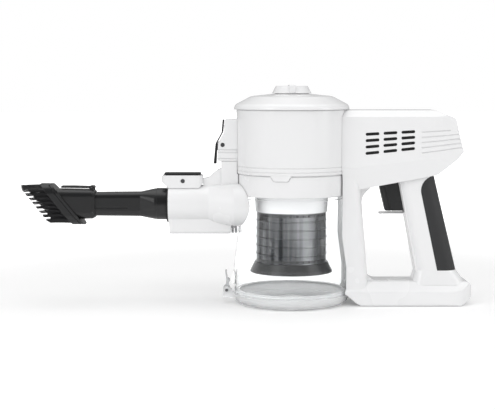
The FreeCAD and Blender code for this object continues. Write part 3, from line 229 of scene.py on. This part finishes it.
def moulded(name, color, shade, roughness, change, scale, depth, radius, painted_edge_highlight, coat=0.0, ior=1.5):
    """Principled plastic fed by the moulded skin group, painted edge highlight included."""
    material, tree, shader = empty_material(name)
    skin = tree.nodes.new("ShaderNodeGroup")
    skin.node_tree = skin_group
    values = {
        "Color": (*color, 1), "Shade Color": (*shade, 1), "Roughness": roughness, "Gloss Change": change,
        "Grain Scale": scale, "Grain Depth": depth, "Edge Radius": radius, "Painted Edge Highlight": painted_edge_highlight,
    }
    for label, value in values.items():
        skin.inputs[label].default_value = value
    shader.inputs["IOR"].default_value = ior
    shader.inputs["Coat Weight"].default_value = coat
    shader.inputs["Coat Roughness"].default_value = 0.08
    connect(
        tree,
        (skin.outputs["Color"], shader.inputs["Base Color"]),
        (skin.outputs["Roughness"], shader.inputs["Roughness"]),
        (skin.outputs["Normal"], shader.inputs["Normal"]),
    )
    return material


# the ninth value of each is the strength of the painted highlight along its edges
finish = {
    "white_shell": moulded(
        "white shell", (0.86, 0.86, 0.865), (0.84, 0.842, 0.848),
        0.26, 0.05, 1800, 0.02, 0.0007, 0.0, 0.25,
    ),
    "dark_plastic": moulded(
        "dark plastic", (0.0105, 0.0108, 0.0116), (0.0085, 0.0088, 0.0096),
        0.32, 0.05, 2200, 0.10, 0.0006, 0.6, 0.12, 1.5,
    ),
    "black_trim": moulded(
        "black trim", (0.012, 0.012, 0.013), (0.009, 0.009, 0.010),
        0.42, 0.06, 2600, 0.18, 0.0005, 0.5,
    ),
    "soft_pad": moulded(
        "soft pad", (0.032, 0.0325, 0.034), (0.027, 0.0275, 0.029),
        0.55, 0.06, 3200, 0.30, 0.0009, 0.3,
    ),
    "seal_rubber": moulded(
        "seal rubber", (0.015, 0.015, 0.015), (0.011, 0.011, 0.011),
        0.60, 0.06, 2600, 0.2, 0.0004, 0.3,
    ),
    "pale_seal": moulded(
        "pale seal", (0.74, 0.745, 0.75), (0.70, 0.705, 0.71),
        0.55, 0.06, 2600, 0.1, 0.0004, 0.0,
    ),
    "inner_grey": moulded(
        "inner grey", (0.22, 0.225, 0.235), (0.19, 0.195, 0.205),
        0.45, 0.06, 1800, 0.15, 0.0005, 0.1,
    ),
    "cell_sleeve": moulded(
        "cell sleeve", (0.02, 0.09, 0.22), (0.018, 0.08, 0.19),
        0.28, 0.04, 900, 0.03, 0.0005, 0.1,
    ),
    "board_green": moulded(
        "circuit board", (0.01, 0.07, 0.035), (0.008, 0.055, 0.03),
        0.35, 0.1, 700, 0.2, 0.0002, 0.1,
    ),
    "filter_paper": moulded(
        "filter paper", (0.72, 0.71, 0.67), (0.66, 0.65, 0.61),
        0.85, 0.05, 1200, 0.6, 0.0003, 0.0,
    ),
    "bristle_fibre": moulded(
        "bristle fibre", (0.020, 0.020, 0.022), (0.034, 0.034, 0.036),
        0.38, 0.08, 900, 0.05, 0.00005, 0.0,
    ),
}
print("moulded materials:", len(finish))


# %% [markdown]
# ## Metals
# Ground pins, the motor can and spring wire all show fine marks. The marks are a noise squeezed more
# along some axes than others, which changes the colour, the roughness and the bump together.

# %% Make the metals
def turned_metal(name, color, roughness, stretch, depth=0.15):
    """Metal with a noise that is squeezed by stretch along X, Y and Z, so that it shows as fine marks."""
    material, tree, shader = empty_material(name)
    where = place(tree, "ShaderNodeTexCoord")
    squeeze = place(tree, "ShaderNodeMapping")
    squeeze.inputs["Scale"].default_value = stretch
    marks = place(tree, "ShaderNodeTexNoise", Scale=300.0, Detail=4.0)
    rough = place(tree, "ShaderNodeMapRange")
    set_range(rough, to_min=roughness - 0.08, to_max=roughness + 0.1)
    tint = place(tree, "ShaderNodeMix", data_type="RGBA")
    tint.inputs["A"].default_value = (*color, 1)
    tint.inputs["B"].default_value = (*[c * 0.8 for c in color], 1)
    bump = place(tree, "ShaderNodeBump", Distance=0.0001, Strength=depth)
    shader.inputs["Metallic"].default_value = 1.0
    connect(
        tree,
        (where.outputs["Object"], squeeze.inputs["Vector"]),
        (squeeze.outputs["Vector"], marks.inputs["Vector"]), (marks.outputs["Fac"], rough.inputs["Value"]),
        (rough.outputs["Result"], shader.inputs["Roughness"]),
        (marks.outputs["Fac"], tint.inputs["Factor"]),
        (tint.outputs["Result"], shader.inputs["Base Color"]),
        (marks.outputs["Fac"], bump.inputs["Height"]), (bump.outputs["Normal"], shader.inputs["Normal"]),
    )
    return material


finish |= {
    "pin_steel": turned_metal("pin steel", (0.16, 0.16, 0.165), 0.34, (6, 1, 6)),
    "contact_metal": turned_metal("contact metal", (0.52, 0.52, 0.53), 0.24, (3, 3, 1)),
    "motor_metal": turned_metal("motor metal", (0.62, 0.63, 0.65), 0.38, (1, 1, 12)),
    "rotor_metal": turned_metal("rotor metal", (0.48, 0.48, 0.50), 0.30, (1, 1, 10)),
    "impeller_metal": turned_metal("impeller metal", (0.70, 0.71, 0.73), 0.28, (1, 1, 10)),
    "spring_steel": turned_metal("spring steel", (0.50, 0.50, 0.52), 0.28, (4, 4, 4)),
    "screw_steel": turned_metal("screw steel", (0.25, 0.25, 0.26), 0.36, (5, 1, 5)),
}
print("finishes so far:", len(finish))


# %% [markdown]
# ## Clear plastic
# The cup is clear, and its door and the door's latch are milky. A real wall has two faces, and so has
# the solid, so plain refraction is right. Shadow rays pass through unbent, or the inside of the cup
# would go dark.

# %% Make the clear material
def clear_plastic(name, color, ior, roughness, milk, shadow):
    """Clear moulding: a low index keeps what is behind it in place, and a coat carries the reflections."""
    material, tree, shader = empty_material(name)
    out = tree.nodes["Material Output"]
    where = place(tree, "ShaderNodeTexCoord")
    haze = place(tree, "ShaderNodeTexNoise", Scale=22.0, Detail=4.0)
    rough = place(tree, "ShaderNodeMapRange")
    set_range(rough, to_min=roughness, to_max=roughness + 0.04)
    shader.inputs["Base Color"].default_value = (*color, 1)
    shader.inputs["Transmission Weight"].default_value = 1.0 - milk
    shader.inputs["IOR"].default_value = ior
    shader.inputs["Coat Weight"].default_value = 0.4
    shader.inputs["Coat IOR"].default_value = 1.5
    shader.inputs["Coat Roughness"].default_value = 0.04
    path = place(tree, "ShaderNodeLightPath")
    through = place(tree, "ShaderNodeBsdfTransparent", Color=(*shadow, 1))
    mix = place(tree, "ShaderNodeMixShader")
    connect(
        tree,
        (where.outputs["Object"], haze.inputs["Vector"]), (haze.outputs["Fac"], rough.inputs["Value"]),
        (rough.outputs["Result"], shader.inputs["Roughness"]),
        (path.outputs["Is Shadow Ray"], mix.inputs[0]), (shader.outputs[0], mix.inputs[1]),
        (through.outputs[0], mix.inputs[2]), (mix.outputs[0], out.inputs["Surface"]),
    )
    return material


finish["clear_wall"] = clear_plastic("clear wall", (0.972, 0.978, 0.98), 1.14, 0.0, 0.0, (0.94, 0.95, 0.955))
finish["clear_door"] = clear_plastic("clear door", (0.93, 0.935, 0.94), 1.16, 0.16, 0.5, (0.4, 0.405, 0.41))
finish["clear_latch"] = clear_plastic("clear latch", (0.62, 0.63, 0.64), 1.3, 0.12, 0.45, (0.6, 0.6, 0.61))
print("clear materials made")


# %% [markdown]
# ## Sponge
# The round pre-filter is open-cell foam. A cell texture used as height gives its pits, and the same cells
# darken the colour where they are deep, as painted shade in the pits.

# %% Make the foam
def foam():
    material, tree, shader = empty_material("filter foam")
    where = place(tree, "ShaderNodeTexCoord")
    cells = place(tree, "ShaderNodeTexVoronoi", Scale=900.0)
    # painted shade: the colour runs from dark in the pits to lighter on the cell walls
    tint = place(tree, "ShaderNodeMix", data_type="RGBA")
    tint.inputs["A"].default_value = (0.03, 0.032, 0.036, 1)
    tint.inputs["B"].default_value = (0.10, 0.105, 0.115, 1)
    bump = place(tree, "ShaderNodeBump", Distance=0.0006, Strength=0.9)
    shader.inputs["Roughness"].default_value = 0.9
    connect(
        tree,
        (where.outputs["Object"], cells.inputs["Vector"]),
        (cells.outputs["Distance"], tint.inputs["Factor"]),
        (tint.outputs["Result"], shader.inputs["Base Color"]),
        (cells.outputs["Distance"], bump.inputs["Height"]),
        (bump.outputs["Normal"], shader.inputs["Normal"]),
    )
    return material


finish["filter_foam"] = foam()
print("foam made")


# %% [markdown]
# ## The steel screen
# The screen is a cylinder of thin steel with rows of tiny holes and a pressed hoop every few
# millimetres. The hoops are real geometry; the holes are far too many to cut, so a repeating pattern
# on the surface's own coordinates opens them through the alpha value.

# %% Material with holes
HOLE_PITCH = 0.0013    # step of the pattern in metres
HOLE_SHARE = 0.24      # a hole's radius as a share of the step
HOLE_SOFT = 0.03       # half the width of its soft edge, as the same share


def hole_mask(tree, pitch, radius):
    """1 on metal and 0 in a hole: distance to the nearest point of two interlaced square grids."""
    uv = place(tree, "ShaderNodeUVMap", uv_map="surface")
    nearest = []
    for shift in (0.0, 0.5):
        cell = place(tree, "ShaderNodeVectorMath", operation="MULTIPLY_ADD")
        cell.inputs[1].default_value = (1 / pitch, 1 / pitch, 0)
        cell.inputs[2].default_value = (shift, shift, 0)
        part = place(tree, "ShaderNodeVectorMath", operation="FRACTION")
        centre = place(tree, "ShaderNodeVectorMath", operation="SUBTRACT")
        centre.inputs[1].default_value = (0.5, 0.5, 0)
        length = place(tree, "ShaderNodeVectorMath", operation="LENGTH")
        connect(
            tree, (uv.outputs[0], cell.inputs[0]), (cell.outputs[0], part.inputs[0]),
            (part.outputs[0], centre.inputs[0]), (centre.outputs[0], length.inputs[0]),
        )
        nearest.append(length.outputs["Value"])
    closer = place(tree, "ShaderNodeMath", operation="MINIMUM")
    connect(tree, (nearest[0], closer.inputs[0]), (nearest[1], closer.inputs[1]))
    mask = place(tree, "ShaderNodeMapRange")
    set_range(mask, from_min=radius - HOLE_SOFT, from_max=radius + HOLE_SOFT)
    connect(tree, (closer.outputs[0], mask.inputs["Value"]))
    return mask.outputs["Result"]


def screen_steel():
    """Dark perforated steel with painted reflections: light and dark streaks up and down its wall in the
    colour, with the roughness changing along them.
    """
    material, tree, shader = empty_material("screen steel")
    mask = hole_mask(tree, HOLE_PITCH, HOLE_SHARE)
    where = place(tree, "ShaderNodeTexCoord")
    squeeze = place(tree, "ShaderNodeMapping")
    squeeze.inputs["Scale"].default_value = (1.0, 1.0, 0.05)
    # painted reflections: long streaks up the drum that make the colour light or dark
    painted_reflection_streaks = place(tree, "ShaderNodeTexNoise", Scale=75.0, Detail=3.0)
    tint = place(tree, "ShaderNodeValToRGB")
    dark, bright = tint.color_ramp.elements
    dark.position, dark.color = 0.36, (0.018, 0.02, 0.024, 1)
    bright.position, bright.color = 0.66, (0.46, 0.47, 0.485, 1)
    rough = place(tree, "ShaderNodeMapRange")
    set_range(rough, to_min=0.42, to_max=0.26)
    shader.inputs["Metallic"].default_value = 1.0
    connect(
        tree,
        (where.outputs["Object"], squeeze.inputs["Vector"]),
        (squeeze.outputs["Vector"], painted_reflection_streaks.inputs["Vector"]), (painted_reflection_streaks.outputs["Fac"], tint.inputs["Fac"]),
        (tint.outputs["Color"], shader.inputs["Base Color"]),
        (painted_reflection_streaks.outputs["Fac"], rough.inputs["Value"]),
        (rough.outputs["Result"], shader.inputs["Roughness"]), (mask, shader.inputs["Alpha"]),
    )
    return material


finish["mesh_steel"] = screen_steel()
print("screen steel made")


# %% [markdown]
# ### The drum and its hoops
# The drum is one turned surface. Its radius is even but for a low round hoop at equal steps of height,
# and a thin solidified wall gives the sheet its two faces.

# %% The screen's surface
def screen_surface():
    """Radius is the drum's radius plus a narrow raised cosine at each hoop; the grid is angle by height."""
    low, high = (np.array(corner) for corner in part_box("mesh_screen"))
    hoops, proud, half_width, room = 6, 0.0008, 0.0011, 0.0009
    radius = (high[0] - low[0]) / 2 - room
    steps, levels, height = 160, 145, high[2] - low[2]
    t = np.linspace(0, 2 * np.pi, steps, endpoint=False)
    z = np.linspace(low[2], high[2], levels)
    phase = (z - low[2]) / height * hoops
    near = np.abs(phase - np.round(phase)) * height / hoops
    ridge = proud * 0.5 * (1 + np.cos(np.pi * np.clip(near / half_width, 0, 1)))
    r = radius + ridge
    points = np.stack([r * np.cos(t)[:, None], r * np.sin(t)[:, None], z + 0 * t[:, None]], axis=-1)
    made = mesh_object("screen_drum", points, grid_faces(steps, levels, True, False))
    uv_from_grid(made, steps, levels, True, False, (2 * np.pi * radius / steps, height / (levels - 1)))
    wall = made.modifiers.new("wall", "SOLIDIFY")
    wall.thickness, wall.offset = 0.0003, -1
    return made


screen = screen_surface()
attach(screen, "dust_cup")
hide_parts("mesh_screen")
screen.data.materials.append(finish["mesh_steel"])


# %% [markdown]
# ## Brush tufts
# Each solid tuft stands for a bundle of stiff nylon fibres. The fibres are thin tapered square rods,
# laid out in a sunflower pattern inside each tuft, which opens a little towards the tips as in a used
# brush. They start just behind the slanted rim, where they are fixed.

# %% Fibres for one row of tufts
FIBRE_RADIUS, FIBRE_TAPER, FIBRE_DROOP = 0.00013, 0.45, 0.0006    # at the root, share lost at the tip, sag
TUFT_RADIUS, TUFT_SPREAD, TUFT_FIBRES = 0.0014, 0.10, 56          # the spread is the tips' share more
SIDE_TUFTS, SIDE_PITCH, SIDE_Y = 8, 0.0044, 0.0133
CAP_TUFTS = ((-0.0086, 0.017), (-0.003, 0.0186), (0.003, 0.0186), (0.0086, 0.017))    # across, and up or down
RIM_RUN, RIM_RISE = 27.6, 34.4                                    # slant of the rim


def fibre_rods(name, roots, tips, radius, material):
    """Four-sided rods: rings of four points at five stations between root and tip, thinner at the tip."""
    count, stations = len(roots), 5
    s = np.linspace(0, 1, stations)[None, :, None, None]
    corner = np.arange(4) * np.pi / 2
    ring = np.stack([0 * corner, np.cos(corner), np.sin(corner)], axis=-1)[None, None]
    axis = roots[:, None, None, :] * (1 - s) + tips[:, None, None, :] * s
    droop = np.array([0, 0, -1.0]) * FIBRE_DROOP * s**2
    points = axis + droop + ring * radius * (1 - FIBRE_TAPER * s)
    base = grid_faces(stations, 4, False, True)[:, ::-1]
    last = 4 * stations - 1
    ends = np.array([[0, 1, 2, 3], [last, last - 1, last - 2, last - 3]])
    one = np.concatenate([base, ends])
    faces = (one[None] + (np.arange(count) * stations * 4)[:, None, None]).reshape(-1, 4)
    made = mesh_object(name, points, faces, smooth=False)
    made.data.materials.append(material)
    return made


def tuft_layout():
    """Tufts stand in straight rows down both sides of the nozzle and in short arcs over its two ends."""
    rows = (np.arange(SIDE_TUFTS) - (SIDE_TUFTS - 1) / 2) * SIDE_PITCH
    sides = np.array([[y, z] for z in rows for y in (-SIDE_Y, SIDE_Y)])
    caps = np.array([[y, reach * up] for y, reach in CAP_TUFTS for up in (1, -1)])
    return np.concatenate([sides, caps])


def brush_fibres():
    """Sunflower disc: point k of a tuft lies at radius sqrt(k) and angle 2.4 k; tips spread and vary."""
    low, high = (np.array(corner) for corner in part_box("bristles"))
    lean, middle_z = RIM_RUN / RIM_RISE, (low[2] + high[2]) / 2
    root_x = high[0] - (high[2] - low[2]) / 2 * lean
    length = root_x - (high[2] - middle_z) * lean - low[0]
    rng = np.random.default_rng(7)
    k = np.arange(TUFT_FIBRES)
    spiral = np.stack([np.cos(2.4 * k), np.sin(2.4 * k)], -1)
    disc = spiral * (TUFT_RADIUS * np.sqrt((k + 0.5) / TUFT_FIBRES))[:, None]
    yz = tuft_layout()[:, None, :] + disc[None]
    splay = disc[None] * TUFT_SPREAD + rng.normal(0, 0.00022, yz.shape)
    plane = root_x - yz[..., 1] * lean
    roots = np.stack([plane + 0.0004, yz[..., 0], middle_z + yz[..., 1]], -1)
    cut = length - rng.uniform(0, 0.0012, plane.shape)
    least = [low[1] + 0.0002, low[2] - middle_z + 0.001]
    most = [high[1] - 0.0002, high[2] - middle_z - 0.0002]
    tips_yz = np.clip(yz + splay, least, most)
    tips = np.stack([plane - cut, tips_yz[..., 0], middle_z + tips_yz[..., 1]], -1)
    return roots.reshape(-1, 3), tips.reshape(-1, 3)


roots, tips = brush_fibres()
tufts = fibre_rods("brush_tufts", roots, tips, FIBRE_RADIUS, finish["bristle_fibre"])
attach(tufts, "brush")
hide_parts("bristles")


# %% [markdown]
# ## Coil springs
# Behind the trigger, the cup latch and the release rocker sits a small compression spring. A coil is a circle
# carried along a helix, so one function makes all three from the room that each one has. A spring gets
# shorter when its lever is pressed.

# %% A coil in a given room
def coil(name, node, axis, turns, wire):
    """Helix about the room's centre line: angle grows with length, and a ring of wire follows it."""
    low, high = (np.array(corner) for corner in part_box(node))
    middle, span = (low + high) / 2, high[axis] - low[axis]
    other = [i for i in range(3) if i != axis]
    radius = (high[other[0]] - low[other[0]]) / 2 - wire
    per_turn, around, closed = 28, 10, 0.08    # closed is the share of each end that doesn't climb
    s = np.linspace(0, 1, int(turns * per_turn))
    flat = np.clip((s - closed) / (1 - 2 * closed), 0, 1) * (span - 2 * wire) - (span - 2 * wire) / 2
    a = 2 * np.pi * turns * s
    path = np.zeros((len(s), 3))
    path[:, axis], path[:, other[0]], path[:, other[1]] = flat, radius * np.cos(a), radius * np.sin(a)
    along = np.gradient(path, axis=0)
    along /= np.linalg.norm(along, axis=1, keepdims=True)
    out = np.zeros_like(path)
    out[:, other[0]], out[:, other[1]] = np.cos(a), np.sin(a)
    side = np.cross(along, out)
    out = np.cross(side, along)
    b = np.linspace(0, 2 * np.pi, around, endpoint=False)[None, :, None]
    points = path[:, None] + wire * (np.cos(b) * out[:, None] + np.sin(b) * side[:, None])
    quads = grid_faces(len(s), around, False, True)[:, ::-1]
    caps = (np.arange(around), len(s) * around - 1 - np.arange(around))
    made = mesh_object(name, points + middle, quads, caps=caps)
    made.data.materials.append(finish["spring_steel"])
    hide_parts(node)
    return made, low, high


SPRING_WIRE = 0.0004

for name, node, axis, turns, joint, body, keep, end in (
    ("trigger_coil", "trigger_spring", 0, 7, "trigger_pull", "housing", 0.27, 1),
    ("latch_coil", "cup_latch_spring", 0, 7, "cup_latch_press", "housing", 0.55, 1),
    ("rocker_coil", "rocker_spring", 2, 5, "tool_release_press", "dust_cup", 0.74, 0),
):
    made, low, high = coil(name, node, axis, turns, SPRING_WIRE)
    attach(made, body)
    anchor = (low + high) / 2
    anchor[axis] = (low, high)[end][axis]
    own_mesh(made)


# %% [markdown]
# ## Pleated exhaust filter
# Under the lid sits a ring of pleated paper. Its pleats run outwards like the folds of a fan, so the
# height of the ring follows a triangle wave round the circle. The ring is closed all round.

# %% The pleated ring
def pleated_ring():
    """Profile corners go round Z, and the upper ones rise and fall with a triangle wave of the angle."""
    low, high = (np.array(corner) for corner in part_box("exhaust_filter"))
    pleats, steps, depth, rim = 60, 480, 0.0035, 0.0015
    outer, inner = (high[0] - low[0]) / 2 - 0.0001, 0.0202
    t = np.linspace(0, 2 * np.pi, steps, endpoint=False)
    wave = np.abs(((t * pleats / (2 * np.pi)) % 1) * 2 - 1)
    profile = (
        (inner, 0, 0), (outer, 0, 0), (outer, 1, 0), (outer - rim, 1, 0), (outer - 2 * rim, 1, 1),
        (inner + 2 * rim, 1, 1), (inner + rim, 1, 0), (inner, 1, 0),
    )
    points = np.stack([
        np.stack([r * np.cos(t), r * np.sin(t), np.where(up, high[2] - depth * wave * folds, low[2])], -1)
        for r, up, folds in profile
    ], axis=1)
    made = mesh_object("pleated_filter", points, grid_faces(steps, len(profile), True, True), smooth=False)
    made.data.materials.append(finish["filter_paper"])
    return made


pleats = pleated_ring()
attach(pleats, "lid")
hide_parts("exhaust_filter")


# %% [markdown]
# ## Dress the frame
# Every solid of the frame names a material slot in its record. Each slot has its finish by now, so the
# solids take theirs by name.

# %% Give each solid its finish
slot_of = {item["node"]: item["material_slot"] for item in record["subparts"]}
# frosted pieces next to the cup's clear wall
slot_of |= {"cup_door": "clear_door", "door_seal": "pale_seal", "door_latch": "clear_latch"}
for name, made in nodes.items():
    made.data.materials.clear()
    made.data.materials.append(finish[slot_of[name]])
print("dressed:", len(nodes))


# %% [markdown]
# ## The studio
# The machine stands on a seamless white floor. The floor looks white to the camera and to clear
# plastic, but still takes the soft shadow under the machine. A broad lamp above, one at the left front
# and a weaker one at the right shape the white shells without burning them out.

# %% Floor
def floor_material():
    """White to the camera except where it is in shade; the glow grows away from the machine."""
    material, tree, shader = empty_material("studio floor")
    shader.inputs["Base Color"].default_value = (0.93, 0.93, 0.93, 1)
    shader.inputs["Roughness"].default_value = 0.7
    shader.inputs["Specular IOR Level"].default_value = 0.2
    out = tree.nodes["Material Output"]
    where = place(tree, "ShaderNodeTexCoord")
    reach = place(tree, "ShaderNodeVectorMath", operation="LENGTH")
    ramp = place(tree, "ShaderNodeMapRange", interpolation_type="SMOOTHSTEP")
    set_range(ramp, 0.35, 1.1, 0.16, 1.0)
    glow = place(tree, "ShaderNodeEmission")
    behind = place(tree, "ShaderNodeMath", operation="MULTIPLY")    # brighter still through clear plastic
    behind.inputs[1].default_value = 0.4
    level = place(tree, "ShaderNodeMath", operation="MAXIMUM")
    path = place(tree, "ShaderNodeLightPath")
    seen = place(tree, "ShaderNodeMath", operation="MAXIMUM")
    add = place(tree, "ShaderNodeAddShader")
    mix = place(tree, "ShaderNodeMixShader")
    connect(
        tree,
        (where.outputs["Object"], reach.inputs[0]), (reach.outputs["Value"], ramp.inputs["Value"]),
        (path.outputs["Is Transmission Ray"], behind.inputs[0]), (behind.outputs[0], level.inputs[0]),
        (ramp.outputs["Result"], level.inputs[1]), (level.outputs[0], glow.inputs["Strength"]),
        (path.outputs["Is Camera Ray"], seen.inputs[0]),
        (path.outputs["Is Transmission Ray"], seen.inputs[1]), (shader.outputs[0], add.inputs[0]),
        (glow.outputs[0], add.inputs[1]), (seen.outputs[0], mix.inputs[0]),
        (shader.outputs[0], mix.inputs[1]), (add.outputs[0], mix.inputs[2]),
        (mix.outputs[0], out.inputs["Surface"]),
    )
    return material


half, drop = 8.0, 0.0002
corners = np.array([[-half, -half, -drop], [half, -half, -drop], [half, half, -drop], [-half, half, -drop]])
floor = mesh_object("studio_floor", corners, np.array([[0, 1, 2, 3]]), smooth=False)
floor.data.materials.append(floor_material())


# %% [markdown]
# ### Light from all round
# The sky is white where the camera or clear plastic sees it. For everything else it is dim at the
# horizon and brighter above, and three broad lamps give the shells their soft highlights.

# %% World and lamps
FRONT_FILL, FRONT_DARK = 0.85, 0.8    # light added from the front, and how dark the front looks in gloss


def studio_world():
    """White to the camera and through glass.

    For light it runs from a dim horizon to a brighter top, and the front side is brighter still.
    Reflections see that front side dark, as they would in a room, so dark plastics keep their depth.
    """
    world = bpy.data.worlds.new("studio")
    bpy.context.scene.world = world
    world.use_nodes = True
    tree = world.node_tree
    tree.nodes.clear()
    where = place(tree, "ShaderNodeTexCoord")
    split = place(tree, "ShaderNodeSeparateXYZ")
    ramp = place(tree, "ShaderNodeMapRange")
    front = place(tree, "ShaderNodeMapRange", interpolation_type="SMOOTHSTEP")
    set_range(ramp, -0.1, 0.9, 0.44, 0.62)
    set_range(front, -0.1, -0.9, 0.0, 1.0)
    fill = place(tree, "ShaderNodeMath", operation="MULTIPLY_ADD")
    fill.inputs[1].default_value = FRONT_FILL
    dark = place(tree, "ShaderNodeMath", operation="MULTIPLY_ADD")
    dark.inputs[1].default_value, dark.inputs[2].default_value = -FRONT_DARK, 1.0
    mirror = place(tree, "ShaderNodeMath", operation="MULTIPLY")
    strength = place(tree, "ShaderNodeMix", data_type="FLOAT")
    path = place(tree, "ShaderNodeLightPath")
    seen = place(tree, "ShaderNodeMath", operation="MAXIMUM")
    light = place(tree, "ShaderNodeBackground", Color=(0.8, 0.8, 0.8, 1))
    white = place(tree, "ShaderNodeBackground", Color=(1, 1, 1, 1), Strength=1.0)
    mix = place(tree, "ShaderNodeMixShader")
    out = place(tree, "ShaderNodeOutputWorld")
    connect(
        tree,
        (where.outputs["Generated"], split.inputs[0]), (split.outputs["Z"], ramp.inputs["Value"]),
        (split.outputs["Y"], front.inputs["Value"]), (front.outputs["Result"], fill.inputs[0]),
        (ramp.outputs["Result"], fill.inputs[2]), (front.outputs["Result"], dark.inputs[0]),
        (ramp.outputs["Result"], mirror.inputs[0]), (dark.outputs[0], mirror.inputs[1]),
        (path.outputs["Is Glossy Ray"], strength.inputs["Factor"]),
        (fill.outputs[0], strength.inputs["A"]), (mirror.outputs[0], strength.inputs["B"]),
        (strength.outputs["Result"], light.inputs["Strength"]),
        (path.outputs["Is Camera Ray"], seen.inputs[0]),
        (path.outputs["Is Transmission Ray"], seen.inputs[1]), (seen.outputs[0], mix.inputs[0]),
        (light.outputs[0], mix.inputs[1]), (white.outputs[0], mix.inputs[2]),
        (mix.outputs[0], out.inputs["Surface"]),
    )


def soft_lamp(name, spot, aim, size, power):
    """Rectangular lamp at a spot, turned to face the aim point."""
    data = bpy.data.lights.new(name, "AREA")
    data.shape, data.size, data.size_y, data.energy = "RECTANGLE", size[0], size[1], power
    lamp = bpy.data.objects.new(name, data)
    bpy.context.collection.objects.link(lamp)
    back = np.array(spot, float) - np.array(aim, float)
    azimuth, tilt = math.atan2(back[0], -back[1]), math.atan2(math.hypot(back[0], back[1]), back[2])
    lamp.location, lamp.rotation_euler = spot, (tilt, 0, azimuth)


studio_world()
soft_lamp("top lamp", (0.0, 0.05, 1.5), (-0.02, 0, 0.1), (1.6, 1.2), 7)
soft_lamp("left lamp", (-1.3, -1.1, 0.8), (-0.02, 0, 0.1), (0.7, 0.9), 6)
soft_lamp("right lamp", (1.4, -0.5, 0.6), (0.0, 0, 0.1), (0.4, 0.9), 3)


# %% [markdown]
# ## The camera
# A long lens at about the height of the lid, a little over a metre and a third away, looks slightly
# down, so the lid shows its top and the cup shows its floor.

# %% Camera
lens = bpy.data.cameras.new("studio camera")
lens.sensor_width, lens.lens = 36.0, 96.3
camera = bpy.data.objects.new("studio camera", lens)
camera.location = (-0.0458, -1.376, 0.2326)
camera.rotation_euler = (math.radians(90 - 5.4), 0, 0)
bpy.context.collection.objects.link(camera)
bpy.context.scene.camera = camera
bpy.context.scene.view_settings.view_transform = "Standard"
print("camera height", round(camera.location.z, 3))
